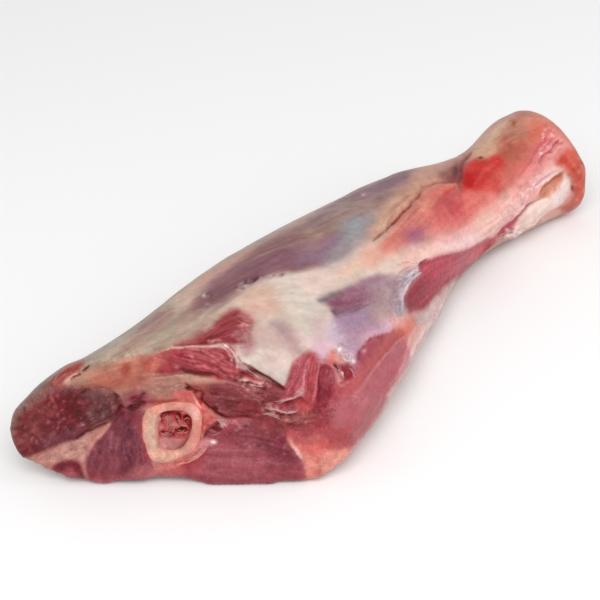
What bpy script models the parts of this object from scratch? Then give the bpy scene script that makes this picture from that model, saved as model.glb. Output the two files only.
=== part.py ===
"""A raw goat shoulder joint: the upper arm sawn through at one end, the knuckle left on at the other.

It lies on its flat side with the leg along +X, from the sawn end to the knuckle, and +Z up.
Three solids nest in each other: the meat, the marrow bone that the saw went through, and its marrow.
Metres, with the sizes below in millimetres.
"""

import math
from collections import namedtuple

import bpy
from mathutils import Matrix, Vector

MM = 0.001

# --- Driving sizes, in millimetres and degrees -------------------------------------------------

SAW_POINT = (-112.0, -7.0, 0.0)  # where the saw meets the table, under the bone
SAW_TURN = 45.0  # the saw's cut is turned this far from square to the leg
SAW_LEAN = 16.0  # and leans back this far from upright
FIT_GAP = 0.3  # between the meat, the bone and the marrow
RING_POINTS = 16
LEG_SMOOTHING = 2  # subdivision levels
BONE_SMOOTHING = 1

# The underside is hollowed a little between the two halves of the sawn end: half its length along
# the cut, half its reach under the leg, and its height.
HOLLOW_POINT = (-116.0, -3.0, 0.0)
HOLLOW_SIZE = (20.0, 30.0, 2.5)

# The blocks that stand for what the saw takes away and for the table: larger than the whole joint.
SAW_BLOCK = (400.0, 100.0, 300.0)
TABLE_BLOCK = (800.0, 400.0, 40.0)

# A section of the leg stands on the line from its back edge to its front edge, both (x, y).
# foot and crown are its lowest and highest points, waist the share of its height where it is widest,
# lean its tilt back from upright, and ridge how far its crown lies towards the front edge, from -1 to 1.
Section = namedtuple("Section", "back front foot crown waist lean ridge")
LEG = (
    Section((-172, 28), (-87, -73), -1.5, 56, 0.40, SAW_LEAN, 0.25),
    Section((-153, 40), (-77, -60), -1.5, 58, 0.40, SAW_LEAN, 0.25),
    Section((-129, 43), (-56, -55), -1.5, 57, 0.36, 12, 0.25),
    Section((-95, 46), (-28, -48), -1.5, 57, 0.34, 8, 0.2),
    Section((-57, 52), (0, -32), -1.5, 56, 0.37, 4, 0.1),
    Section((-18, 54), (26, -19), -1.0, 54, 0.38, 0, 0.0),
    Section((25, 54), (47, -12), 1.0, 49, 0.42, 0, 0.0),
    Section((68, 52), (75, -2), 2.0, 45, 0.5, 0, 0.0),
    Section((94, 38), (97, 0), 3.0, 40, 0.5, 0, 0.0),
    Section((115, 42), (117, -1), -0.5, 46, 0.5, -2, 0.0),
    Section((134, 46), (134, -2), -1.5, 50, 0.5, -5, 0.0),
    Section((147, 45), (148, -4), -1.5, 49, 0.5, -8, 0.0),
    Section((152, 41), (153, -3), 2.0, 45, 0.5, -8, 0.0),
)
# Superellipse exponents of a section's four quarters: 2 is an ellipse, more is squarer.
CROWN_FRONT, CROWN_BACK, BELLY_BACK, BELLY_FRONT = 1.8, 2.2, 2.4, 3.6

# The bone runs from the sawn face into the shank: centre (x, y, z), half width, half height.
BoneSection = namedtuple("BoneSection", "centre half_width half_height")
BONE = (
    BoneSection((-143, -12, 20), 10.0, 13.8),
    BoneSection((-119, -7, 20.5), 9.8, 13.5),
    BoneSection((-75, 0, 23), 9.0, 11.0),
    BoneSection((-17, 9, 24), 8.0, 9.0),
    BoneSection((38, 18, 24), 7.5, 8.0),
    BoneSection((55, 20, 24), 5.0, 5.5),
)
BONE_SQUARENESS = 2.8
BONE_WALL = 4.6  # of compact bone round the marrow
BONE_SLANT = -0.26  # sideways shift of the section for each step up it
BONE_TAPER = 0.12  # how much wider its top is than its middle


def mm(*values):
    """A point or vector given in millimetres, in metres."""
    return Vector(values) * MM


def clear_scene():
    for stray in list(bpy.data.objects):
        bpy.data.objects.remove(stray)


def new_collection(name):
    collection = bpy.data.collections.new(name)
    bpy.context.scene.collection.children.link(collection)
    return collection


def new_material(name, colour, roughness):
    material = bpy.data.materials.new(name)
    material.use_nodes = True
    shader = material.node_tree.nodes["Principled BSDF"]
    shader.inputs["Base Color"].default_value = (*colour, 1.0)
    shader.inputs["Roughness"].default_value = roughness
    shader.inputs["Metallic"].default_value = 0.0
    return material


def rounded(value, squareness):
    """A cosine or sine pushed out towards the sides of a square."""
    return math.copysign(abs(value) ** (2.0 / squareness), value)


def leg_ring(section):
    """The cage points of one section of the leg, anticlockwise as seen from the sawn end."""
    back, front = Vector(section.back), Vector(section.front)
    middle, half = (back + front) / 2, (front - back) / 2
    square_to_it = Vector((-half.y, half.x)).normalized()
    height = section.crown - section.foot
    widest = section.foot + section.waist * height
    points = []
    for step in range(RING_POINTS):
        turn = 2 * math.pi * step / RING_POINTS
        quarter = (CROWN_FRONT, CROWN_BACK, BELLY_BACK, BELLY_FRONT)[4 * step // RING_POINTS]
        across = rounded(math.cos(turn), quarter)
        up = rounded(math.sin(turn), quarter)
        if up > 0:
            level = widest + up * (section.crown - widest)
            across += section.ridge * up * up
        else:
            level = widest + up * (widest - section.foot)
        set_back = level * math.tan(math.radians(section.lean))
        place = middle + half * across + square_to_it * set_back
        points.append(mm(place.x, place.y, level))
    return points


def bone_ring(section, inset):
    """The cage points of one section of the bone, or of what lies inset millimetres inside it."""
    x, y, z = section.centre
    along = Vector((BONE[-1].centre[0] - BONE[0].centre[0], BONE[-1].centre[1] - BONE[0].centre[1]))
    square_to_it = Vector((along.y, -along.x)).normalized()
    points = []
    for step in range(RING_POINTS):
        turn = 2 * math.pi * step / RING_POINTS
        rise = rounded(math.sin(turn), BONE_SQUARENESS)
        up = rise * (section.half_height - inset)
        half_width = (section.half_width - inset) * (1 + BONE_TAPER * rise)
        across = rounded(math.cos(turn), BONE_SQUARENESS) * half_width + BONE_SLANT * up
        points.append(mm(x + square_to_it.x * across, y + square_to_it.y * across, z + up))
    return points


def bone_rings(inset):
    return [bone_ring(section, inset) for section in BONE]


def loft(name, rings, smoothing, collection, material=None):
    """One closed skin over a row of rings, smoothed by subdivision."""
    verts = [point for ring in rings for point in ring]
    faces = []
    for near in range(len(rings) - 1):
        for step in range(RING_POINTS):
            here, following = near * RING_POINTS, (near + 1) * RING_POINTS
            turned = (step + 1) % RING_POINTS
            faces.append((here + step, following + step, following + turned, here + turned))
    faces.append(tuple(range(RING_POINTS)))
    last = (len(rings) - 1) * RING_POINTS
    faces.append(tuple(last + step for step in reversed(range(RING_POINTS))))
    mesh = bpy.data.meshes.new(name)
    mesh.from_pydata([tuple(v) for v in verts], [], faces)
    mesh.validate()
    lofted = bpy.data.objects.new(name, mesh)
    collection.objects.link(lofted)
    if material:
        mesh.materials.append(material)
    smooth = lofted.modifiers.new("smooth", "SUBSURF")
    smooth.levels = smoothing
    smooth.render_levels = smoothing
    mesh.shade_smooth()
    return lofted


def move_to(thing, collection):
    for holder in list(thing.users_collection):
        holder.objects.unlink(thing)
    collection.objects.link(thing)


def block_cutter(name, size, place, collection):
    """A block of size (x, y, z) millimetres, turned and placed by a matrix."""
    bpy.ops.mesh.primitive_cube_add(size=1.0)
    block = bpy.context.active_object
    block.name = name
    block.data.transform(Matrix.Diagonal((*mm(*size), 1.0)))
    block.matrix_world = place
    move_to(block, collection)
    as_cutter(block)
    return block


def as_cutter(cutter):
    cutter.hide_render = True
    cutter.display_type = "WIRE"


def cut(target, cutter):
    boolean = target.modifiers.new(f"cut_by_{cutter.name}", "BOOLEAN")
    boolean.operation = "DIFFERENCE"
    boolean.solver = "EXACT"
    boolean.object = cutter


clear_scene()
pieces = new_collection("goat_shoulder")
cutters = new_collection("cutters")

muscle_red = new_material("muscle", (0.36, 0.07, 0.08), 0.42)
bone_ivory = new_material("bone", (0.76, 0.58, 0.44), 0.5)
marrow_pink = new_material("marrow", (0.50, 0.12, 0.12), 0.45)

meat = loft("meat", [leg_ring(section) for section in LEG], LEG_SMOOTHING, pieces, muscle_red)
bone = loft("bone", bone_rings(0.0), BONE_SMOOTHING, pieces, bone_ivory)
marrow = loft("marrow", bone_rings(BONE_WALL)[:-1], BONE_SMOOTHING, pieces, marrow_pink)

# The saw takes everything in front of its leaning plane, the table trims the underside flat, and
# a flattened ball presses the hollow into it.
saw_place = (
    Matrix.Translation(mm(*SAW_POINT))
    @ Matrix.Rotation(math.radians(SAW_TURN - 90.0), 4, "Z")
    @ Matrix.Rotation(math.radians(-SAW_LEAN), 4, "X")
    @ Matrix.Translation(mm(0.0, -SAW_BLOCK[1] / 2, 0.0))
)
saw = block_cutter("saw", SAW_BLOCK, saw_place, cutters)
table_place = Matrix.Translation(mm(0.0, 0.0, -TABLE_BLOCK[2] / 2))
table = block_cutter("table", TABLE_BLOCK, table_place, cutters)

bpy.ops.mesh.primitive_uv_sphere_add(segments=24, ring_count=12, radius=1.0)
hollow = bpy.context.active_object
hollow.name = "hollow"
hollow.data.transform(Matrix.Diagonal((*mm(*HOLLOW_SIZE), 1.0)))
hollow.matrix_world = Matrix.Translation(mm(*HOLLOW_POINT)) @ Matrix.Rotation(
    math.radians(SAW_TURN - 90.0), 4, "Z"
)
move_to(hollow, cutters)
as_cutter(hollow)

bone_bed = loft("bone_bed", bone_rings(-FIT_GAP), BONE_SMOOTHING, cutters)
marrow_bed = loft("marrow_bed", bone_rings(BONE_WALL - FIT_GAP)[:-1], BONE_SMOOTHING, cutters)
for bed in (bone_bed, marrow_bed):
    as_cutter(bed)

for cutter in (bone_bed, table, hollow):
    cut(meat, cutter)
cut(bone, marrow_bed)
for sawn in (meat, bone, marrow):
    cut(sawn, saw)
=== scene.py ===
"""A raw goat shoulder: its meat, its sawn bone and the marrow in it, finished over the fixed frame."""

import itertools
import math
from types import SimpleNamespace

import bmesh
import bpy
import numpy as np
from mathutils import Matrix, Vector


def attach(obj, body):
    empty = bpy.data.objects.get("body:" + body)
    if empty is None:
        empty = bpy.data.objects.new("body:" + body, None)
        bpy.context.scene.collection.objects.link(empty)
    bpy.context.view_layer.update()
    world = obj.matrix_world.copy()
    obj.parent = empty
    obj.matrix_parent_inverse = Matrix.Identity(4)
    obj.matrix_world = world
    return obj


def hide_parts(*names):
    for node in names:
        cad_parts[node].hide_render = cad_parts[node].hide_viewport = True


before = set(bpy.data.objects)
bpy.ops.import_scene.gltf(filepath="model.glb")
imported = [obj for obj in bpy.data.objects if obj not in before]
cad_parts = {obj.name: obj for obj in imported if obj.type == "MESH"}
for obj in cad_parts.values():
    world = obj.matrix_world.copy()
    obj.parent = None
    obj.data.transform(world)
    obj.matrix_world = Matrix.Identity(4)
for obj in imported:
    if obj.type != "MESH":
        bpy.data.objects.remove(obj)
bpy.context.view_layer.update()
MM = 0.001


# --- The meat ----------------------------------------------------------------------------------
# Muscle, fat, skin and sinew of the whole leg, in one skin. It starts as the CAD meat with its bed
# for the bone filled in, made even and smooth, and everything below is then laid on it: each muscle,
# membrane and crease has its own outline, tissue colours, grain and relief.

FLESH_VOXEL = 1.63 * MM
FAR_THINNING = 0.85  # the share of the far side's faces that it can spare
FINER_FROM = -0.05  # how squarely a face must look at the chart's eye to get the finer skin
# Outlines on the chart that get the finest skin: the open muscles and the bone, the lacy tags, the tendon.
FINEST_ZONES = (
    "-74.5,-36 -61.5,-33.5 -63,-21.5 -51,-17 -24.5,-15 -15.5,-27 -4,-31 0,-19 20.5,-15 26,-29.5 17,-46"
    " -15.5,-48.5 -28,-51.5 -33,-62.5 -42.5,-68 -61.5,-69.5 -67,-57.5 -74,-49",
    "37,-7.5 37,5 42,14 49,16.5 51.5,13 45,5 44.5,-7.5",
    "87,43.5 95,56 98.5,68 103.5,71.5 106.5,65.5 101,56 102.5,50 97,43.5 92,36 86,26 83,28 87.5,36",
)
BONE_OVERLAP = 0.5 * MM  # closes the gap between meat and bone before they are joined
EDGE_PASSES = 6  # of smoothing, over all of it
CUT_PASSES = 20  # by the saw's cut
SKIN_PASSES = 25  # more, away from the saw's cut
FINER_PASSES = 3  # after each division
CUT_STRIP = 4.0 * MM  # the finer skin goes round the cut's edge by this much
WELL_FACING = 0.1  # it is smoothed again only where it is well inside its own border:
WELL_WITHIN = 0.6 * CUT_STRIP  # this squarely in view of the chart's eye, or this near the cut
SWELL_BACK = -0.53  # each pass swells back by this share what it drew in, so the leg keeps its size
CUT_EDGE = 3.5 * MM  # how far from the cut the strong smoothing stays
HALF_DRAWN = 0.5  # a smoothing pass draws a vertex half of the way to its neighbours' mean
FLAT_WITHIN = 0.8 * FLESH_VOXEL  # what lies this close to the cut or the table is brought onto it
FLAT_FACING = 0.8  # if it faces the way the flat does at least this squarely
SAWN_SPECK = 0.55  # how much more grainy the saw leaves the muscle
DOWNWARD = -0.9  # a face whose normal's z is below this belongs to the underside
SAME_WAY = 0.999  # two normals whose product is above this belong to one flat


def welded_copy(node):
    """A CAD node's mesh as a bmesh with its loose triangles joined."""
    copy = bmesh.new()
    copy.from_mesh(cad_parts[node].data)
    bmesh.ops.remove_doubles(copy, verts=copy.verts, dist=0.01 * MM)
    bmesh.ops.recalc_face_normals(copy, faces=copy.faces)
    return copy


def sawn_plane():
    """A point on the saw's cut and its outward direction: the meat's largest flat but the underside."""
    meat = welded_copy("meat")
    areas = {}
    for face in meat.faces:
        if face.normal.z > DOWNWARD:
            key = tuple(round(part, 2) for part in face.normal)
            areas[key] = areas.get(key, 0.0) + face.calc_area()
    widest = Vector(max(areas, key=areas.get))
    on_cut_flat = [face for face in meat.faces if face.normal.dot(widest) > SAME_WAY]
    flat = max(on_cut_flat, key=bmesh.types.BMFace.calc_area)
    found = flat.calc_center_median(), flat.normal.copy()
    meat.free()
    return found


def mesh_object(name, mesh):
    made = bpy.data.objects.new(name, mesh)
    bpy.context.scene.collection.objects.link(made)
    return made


def made_plain(thing):
    """The thing with its modifiers worked into a plain mesh."""
    evaluated = thing.evaluated_get(bpy.context.evaluated_depsgraph_get())
    plain = bpy.data.meshes.new_from_object(evaluated)
    thing.modifiers.clear()
    thing.data = plain
    return thing


def relaxed(values, links, passes, share=HALF_DRAWN):
    """Values of linked vertices, each drawn towards the mean of its neighbours."""
    one, other = links[:, 0], links[:, 1]
    count = np.bincount(one, minlength=len(values)) + np.bincount(other, minlength=len(values))
    values = values.reshape(len(values), -1)
    share = np.broadcast_to(np.asarray(share, float).reshape(-1, 1), (len(values), 1))
    for _ in range(passes):
        for column in range(values.shape[1]):
            total = np.bincount(one, weights=values[other, column], minlength=len(values))
            total += np.bincount(other, weights=values[one, column], minlength=len(values))
            mean = total / count
            values[:, column] += share[:, 0] * (mean - values[:, column])
    return values


# The shown side is drawn on a chart, as a map is: (right, up) in millimetres from the middle of the
# joint, seen from a point out in front and above. The far side has a chart of its own, (along, up).
CHART_MIDDLE = Vector((-17.6, 15.0, 28.3)) * MM
CHART_TURN = math.radians(-45)
CHART_RISE = math.radians(36)
CHART_DISTANCE = 0.82
LINE_STEPS = 6  # drawn points between two given ones


def chart_frame():
    """The chart's rightward, upward and outward directions."""
    outwards = Vector((
        math.sin(CHART_TURN) * math.cos(CHART_RISE),
        -math.cos(CHART_TURN) * math.cos(CHART_RISE),
        math.sin(CHART_RISE),
    ))
    rightwards = Vector((math.cos(CHART_TURN), math.sin(CHART_TURN), 0.0))
    return rightwards, outwards.cross(rightwards), outwards


chart_right, chart_up, chart_out = chart_frame()
chart_eye = CHART_MIDDLE + chart_out * CHART_DISTANCE


def smoothstep(low, high, values):
    t = np.clip((values - low) / (high - low), 0.0, 1.0)
    return t * t * (3.0 - 2.0 * t)


# Large odd numbers that scatter neighbouring cells and seeds into unlike values.
SCATTER_CELL = (73856093, 19349663, 83492791)
SCATTER_SEED = 2654435761
SCATTER_AGAIN = 1274126177


def cloud(points, size, seed):
    """Smooth random values from -1 to 1 over points, with features of one size."""
    cell = np.asarray(points, float) / size
    base = np.floor(cell).astype(np.int64)
    blend = cell - base
    blend = blend * blend * (3.0 - 2.0 * blend)
    total = np.zeros(len(cell))
    for corner in itertools.product((0, 1), repeat=3):
        x, y, z = (base + corner).T
        mixed = (x * SCATTER_CELL[0]) ^ (y * SCATTER_CELL[1]) ^ (z * SCATTER_CELL[2]) ^ (seed * SCATTER_SEED)
        mixed = (mixed ^ (mixed >> 13)) * SCATTER_AGAIN
        mixed = (mixed ^ (mixed >> 16)) & 0xFFFF
        weight = np.prod(np.where(corner, blend, 1.0 - blend), axis=1)
        total += weight * (2.0 * mixed / 0xFFFF - 1.0)
    return total


def clouds(points, *layers):
    """Clouds laid over each other, each given as its share, its size in millimetres and its seed."""
    return sum(share * cloud(points, size * MM, seed) for share, size, seed in layers)


def points_of(text):
    """Points written as "right,up right,up", in millimetres on a chart."""
    return np.array([pair.split(",") for pair in text.split()], float)


def smooth_line(points, closed):
    """A Catmull-Rom curve through the points."""
    points = points_of(points) if isinstance(points, str) else np.asarray(points, float)
    if closed:
        before, start, end, after = (np.roll(points, shift, axis=0) for shift in (1, 0, -1, -2))
    else:
        padded = np.vstack([2 * points[0] - points[1], points, 2 * points[-1] - points[-2]])
        before, start, end, after = (padded[at:len(padded) - 3 + at] for at in range(4))
    drawn = []
    for step in range(LINE_STEPS):
        t = step / LINE_STEPS
        drawn.append(0.5 * (
            2 * start
            + (end - before) * t
            + (2 * before - 5 * start + 4 * end - after) * t ** 2
            + (3 * start - 3 * end + after - before) * t ** 3
        ))
    line = np.stack(drawn, axis=1).reshape(-1, 2)
    return line if closed else np.vstack([line, points[-1]])


def to_line(places, line):
    """Each place's distance to a line, and how far along the line, from 0 to 1, its nearest point is."""
    nearest = np.full(len(places), 1e9)
    along = np.zeros(len(places))
    for at in range(len(line) - 1):
        start, step = line[at], line[at + 1] - line[at]
        t = np.clip((places - start) @ step / max(step @ step, 1e-9), 0.0, 1.0)
        gap = np.hypot(*(places - start - t[:, None] * step).T)
        closer = gap < nearest
        nearest[closer] = gap[closer]
        along[closer] = (at + t[closer]) / (len(line) - 1)
    return nearest, along


def inside(places, ring):
    """Whether each place is inside a closed ring of points."""
    within = np.zeros(len(places), bool)
    x, y = places.T
    for (x0, y0), (x1, y1) in zip(ring, np.roll(ring, -1, axis=0)):
        crosses = (y0 > y) != (y1 > y)
        if y0 != y1:
            within ^= crosses & (x < x0 + (y - y0) * (x1 - x0) / (y1 - y0))
    return within


def depth_inside(places, ring):
    """How far inside a closed ring of points each place is; below 0, how far outside."""
    depth = to_line(places, np.vstack([ring, ring[:1]]))[0]
    depth[~inside(places, ring)] *= -1.0
    return depth


def turned(places, angle):
    """How far places lie along and across a direction in degrees."""
    turn = math.radians(angle)
    run = places @ np.array([math.cos(turn), math.sin(turn)])
    return run, places @ np.array([-math.sin(turn), math.cos(turn)])


def chart_places(points):
    """Points on the chart, in millimetres right and up."""
    to_eye = np.array(chart_eye) - points
    places = np.stack([-(to_eye @ np.array(chart_right)), -(to_eye @ np.array(chart_up))], axis=1)
    return places * (CHART_DISTANCE / MM) / (to_eye @ np.array(chart_out))[:, None]


def facing_chart(points, outward):
    """How squarely each point faces the chart's eye, from -1, away from it, to 1."""
    to_eye = np.array(chart_eye) - points
    return np.einsum("ij,ij->i", outward, to_eye) / np.linalg.norm(to_eye, axis=1)


def points_and_normals(mesh):
    points = np.empty(len(mesh.vertices) * 3, np.float32)
    mesh.vertices.foreach_get("co", points)
    normals = np.empty(len(mesh.vertices) * 3, np.float32)
    mesh.vertex_normals.foreach_get("vector", normals)
    return points.reshape(-1, 3).astype(float), normals.reshape(-1, 3).astype(float)


cut_point, cut_normal = sawn_plane()
joined = bmesh.new()
for node_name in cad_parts:
    welded = welded_copy(node_name)
    if node_name != "meat":
        for vert in welded.verts:
            vert.co += vert.normal * BONE_OVERLAP
            vert.co -= cut_normal * max(0.0, (vert.co - cut_point).dot(cut_normal))
    part_mesh = bpy.data.meshes.new(node_name + "_copy")
    welded.to_mesh(part_mesh)
    joined.from_mesh(part_mesh)
    welded.free()
    bpy.data.meshes.remove(part_mesh)
flesh = mesh_object("flesh", bpy.data.meshes.new("flesh"))
joined.to_mesh(flesh.data)
joined.free()
remesh = flesh.modifiers.new("even_skin", "REMESH")
remesh.mode = "VOXEL"
remesh.voxel_size = FLESH_VOXEL
made_plain(flesh)


def depth_behind_cut(points):
    return (np.array(cut_point) - points) @ np.array(cut_normal)


# The far side and the underside get a coarser skin, which starts this far behind the cut and where a
# face looks this far away from the chart's eye.
FAR_FACING = (-0.5, -0.2)
FAR_DEPTH = (4.0 * MM, 9.0 * MM)
skin, outward = points_and_normals(flesh.data)
far_share = 1.0 - smoothstep(*FAR_FACING, facing_chart(skin, outward))
far_share *= smoothstep(*FAR_DEPTH, depth_behind_cut(skin))
far_group = flesh.vertex_groups.new(name="far")
for weight_step in np.unique(np.round(far_share, 1)):
    members = np.nonzero(np.round(far_share, 1) == weight_step)[0]
    far_group.add(members.tolist(), float(weight_step), "REPLACE")
thinner = flesh.modifiers.new("thinner_far_side", "DECIMATE")
thinner.ratio = 1.0 - FAR_THINNING * far_share.mean()
thinner.vertex_group = far_group.name
made_plain(flesh)
flesh.vertex_groups.clear()


def links_of(mesh):
    """The pairs of vertices that a mesh's edges join."""
    links = np.empty(len(mesh.edges) * 2, np.int32)
    mesh.edges.foreach_get("vertices", links)
    return links.reshape(-1, 2)


def put_back(mesh, points):
    mesh.vertices.foreach_set("co", points.astype(np.float32).ravel())
    mesh.update()


def smooth_skin(mesh, passes, free=1.0, back=SWELL_BACK):
    """Smooths a mesh where it is free to move, swelling it back after each pass."""
    points, links = points_and_normals(mesh)[0], links_of(mesh)
    for _ in range(passes):
        for share in (HALF_DRAWN, back):
            points = relaxed(points, links, 1, share * free)
    put_back(mesh, points)


def divided(mesh, chosen):
    """Halves every edge of the faces whose vertices are all chosen."""
    finer = bmesh.new()
    finer.from_mesh(mesh)
    edges = {
        edge
        for face in finer.faces
        if all(chosen[vert.index] for vert in face.verts)
        for edge in face.edges
    }
    bmesh.ops.subdivide_edges(finer, edges=list(edges), cuts=1, use_grid_fill=True)
    finer.to_mesh(mesh)
    finer.free()


# The cut and the underside are made flat again, and then the skin is smoothed, hard along the cut's edge
# and most of all away from it, and divided on the shown side.
skin, outward = points_and_normals(flesh.data)
depth = depth_behind_cut(skin)
sawn_flat = (np.abs(depth) < FLAT_WITHIN) & (outward @ np.array(cut_normal) > FLAT_FACING)
skin[sawn_flat] += depth[sawn_flat, None] * np.array(cut_normal)
skin[(skin[:, 2] < FLAT_WITHIN) & (outward[:, 2] < -FLAT_FACING), 2] = 0.0
put_back(flesh.data, skin)
depth = depth_behind_cut(skin)
by_cut = np.clip(2.0 - depth / CUT_EDGE, 0.0, 1.0)
smooth_skin(flesh.data, CUT_PASSES, by_cut, back=0.0)
smooth_skin(flesh.data, EDGE_PASSES)
smooth_skin(flesh.data, SKIN_PASSES, np.clip(depth / CUT_EDGE - 1.0, 0.0, 1.0))
skin, outward = points_and_normals(flesh.data)
by_cut = depth_behind_cut(skin) < CUT_STRIP
divided(flesh.data, (facing_chart(skin, outward) > FINER_FROM) | by_cut)
skin, outward = points_and_normals(flesh.data)
well_inside = (facing_chart(skin, outward) > WELL_FACING) | (depth_behind_cut(skin) < WELL_WITHIN)
smooth_skin(flesh.data, FINER_PASSES, well_inside.astype(float))
skin, outward = points_and_normals(flesh.data)
in_zone = np.zeros(len(skin), bool)
for zone in FINEST_ZONES:
    in_zone |= inside(chart_places(skin), smooth_line(zone, closed=True))
divided(flesh.data, in_zone & (facing_chart(skin, outward) > 0.0))
smooth_skin(flesh.data, FINER_PASSES)
skin, outward = points_and_normals(flesh.data)
links = links_of(flesh.data)
vertex_count = len(skin)


SHOWN_FACING = (-0.38, -0.12)  # how squarely a point faces the chart's eye where its tissues fade in
PLAIN_FIBRE, PLAIN_WET, PLAIN_SPECK = 0.25, 0.5, 0.25


def new_canvas(points, outward):
    """A piece's points made ready to be finished: their charts, random patterns, and a plain finish."""
    count = len(points)
    facing = facing_chart(points, outward) + clouds(points, (0.08, 6, 5))
    chart = chart_places(points)
    for axis in (0, 1):
        chart[:, axis] += clouds(points, (0.5, 5, 1 + axis), (0.2, 2, 3 + axis))
    return SimpleNamespace(
        sides={
            "shown": (chart, smoothstep(*SHOWN_FACING, facing)),
            "far": (points[:, [0, 2]] / MM, np.ones(count)),
        },
        ragged=clouds(points, (0.4, 4, 6), (0.45, 1.9, 7), (0.35, 1.1, 10)),
        blotch=clouds(points, (0.6, 7, 8), (0.4, 3, 9)),
        mottle=clouds(points, (0.3, 6, 11), (0.35, 2.6, 12), (0.35, 1.3, 13)),
        tissue=np.zeros((count, 3)),  # display colours, made linear at the end
        relief=np.zeros(count),  # millimetres
        grain=np.zeros((count, 3)),
        fibre=np.full(count, PLAIN_FIBRE),
        wet=np.full(count, PLAIN_WET),
        speck=np.full(count, PLAIN_SPECK),
    )


GRAIN_STRETCH = 0.12  # how wide a fibre is for its length
STREAK_SEED = 20
GRAIN_FROM = 0.4  # a tissue gives a vertex its fibre direction where its share is above this


def rgb(code):
    """A display colour written as six hexadecimal digits, as shares of red, green and blue."""
    return np.array([int(code[at:at + 2], 16) for at in (0, 2, 4)]) / 255.0


def near_to(side, line, margin):
    """The vertices of a side whose chart places are near a line, and those places."""
    places, weight = canvas.sides[side]
    low, high = line.min(axis=0) - margin, line.max(axis=0) + margin
    close = np.all((places > low) & (places < high), axis=1) & (weight > 0.0)
    index = np.nonzero(close)[0]
    return index, places[index], weight[index]


def streaks(places, angle, seed):
    """Random values in stripes that run at an angle, and the fibre coordinates they come from."""
    run, across = turned(places, angle)
    fibres = np.stack([run * GRAIN_STRETCH, across, np.zeros(len(run))], axis=1)
    return 0.6 * cloud(fibres, 1.8, seed) + 0.4 * cloud(fibres, 0.9, seed + 1), fibres


def tint(index, share, colours, pattern):
    """Mixes one or two tissue colours into vertices, from one to the other as the pattern goes up."""
    codes = colours.split()
    first, second = rgb(codes[0]), rgb(codes[-1])
    mix = np.clip(0.5 + 1.3 * pattern, 0.0, 1.0)[:, None]
    share = share[:, None]
    canvas.tissue[index] += share * (first * (1.0 - mix) + second * mix - canvas.tissue[index])


def lay(outline, colours, soft=1.0, strength=1.0, fray=0.8, angle=None, fibres=0.25, moist=None,
        speck=None, height=0.0, shoulder=3.0, side="shown"):
    """Lays one tissue inside an outline: its colours, edge, fibre direction, wetness and relief.

    soft and fray are how far its edge fades and wanders, height is how far it stands up or sinks in, and
    shoulder how far inside its edge it gets there, all in millimetres. angle is its fibres' direction in
    degrees, fibres how clearly they show, moist how wet it is, and speck how grainy.
    """
    ring = smooth_line(outline, closed=True)
    index, places, weight = near_to(side, ring, soft + fray + 1.0)
    reach = depth_inside(places, ring)
    pattern = canvas.blotch[index]
    if angle is not None:
        pattern, fibre_places = streaks(places, angle, STREAK_SEED)
        reach_edge = reach + fray * (0.5 * canvas.ragged[index] + 0.7 * pattern)
    else:
        reach_edge = reach + fray * canvas.ragged[index]
    share = smoothstep(-soft, soft, reach_edge) * strength * weight
    tint(index, share, colours, pattern)
    if angle is not None:
        taken = share > GRAIN_FROM
        canvas.grain[index[taken]] = fibre_places[taken]
        canvas.fibre[index] += share * (fibres - canvas.fibre[index])
    if moist is not None:
        canvas.wet[index] += share * (moist - canvas.wet[index])
    if speck is not None:
        canvas.speck[index] += share * (speck - canvas.speck[index])
    if height:
        rise = 1.0 - np.exp(-np.clip(reach_edge, 0.0, None) / shoulder)
        canvas.relief[index] += height * rise * weight


def draw(points, colours, width, soft=0.6, strength=1.0, height=0.0, spread=1.0, side="shown", taper=0.5):
    """Draws a line of colour and relief, such as a crease, seam or sinew, thinning towards both ends. A dark
    crease is painted shade along its sunk relief, and some pale lines are painted highlights.
    """
    line = smooth_line(points, closed=False)
    index, places, weight = near_to(side, line, 2.5 * width + soft + 1.0)
    gap, along = to_line(places, line)
    thick = width * np.clip(4.0 * along * (1.0 - along), 0.0, 1.0) ** taper
    edge = thick / 2 - gap + 0.25 * width * canvas.ragged[index]
    share = smoothstep(-soft, soft, edge) * strength * weight
    tint(index, share, colours, canvas.blotch[index])
    if height:
        canvas.relief[index] += height * np.exp(-(gap / (spread * thick + 0.2)) ** 2) * weight


def dot(centre, size, colours, strength=1.0, angle=0.0, height=0.0, side="shown"):
    """One soft-edged spot: its centre, its two half sizes and its tilt."""
    centre, size = np.array(centre, float), np.array(size, float)
    index, places, weight = near_to(side, centre[None, :], 2.2 * size.max())
    run, across = turned(places - centre, angle)
    out = (run / size[0]) ** 2 + (across / size[1]) ** 2
    share = np.exp(-out * (1.0 + 0.3 * canvas.ragged[index])) * strength * weight
    tint(index, share, colours, canvas.blotch[index])
    canvas.relief[index] += height * np.exp(-out) * weight


def strands(first, last, count, colours, width=0.5, strength=0.6, height=0.0, seed=1, soft=0.4, stray=0.3,
            side="shown"):
    """Draws fine fibres between two guide lines of equally many points, each over a part of the way."""
    chance = np.random.default_rng(seed)
    first, last, codes = points_of(first), points_of(last), colours.split()
    for _ in range(count):
        between = first + chance.random() * (last - first)
        guide = smooth_line(between + chance.normal(0.0, stray, first.shape), closed=False)
        length = int(len(guide) * chance.uniform(0.3, 0.8))
        start = chance.integers(0, len(guide) - length)
        part = guide[start:start + max(length, 3):max(length // 4, 1)]
        colour = codes[chance.integers(len(codes))]
        draw(part, colour, width * chance.uniform(0.6, 1.4), soft, strength * chance.uniform(0.5, 1.0),
             height, side=side)


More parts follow.
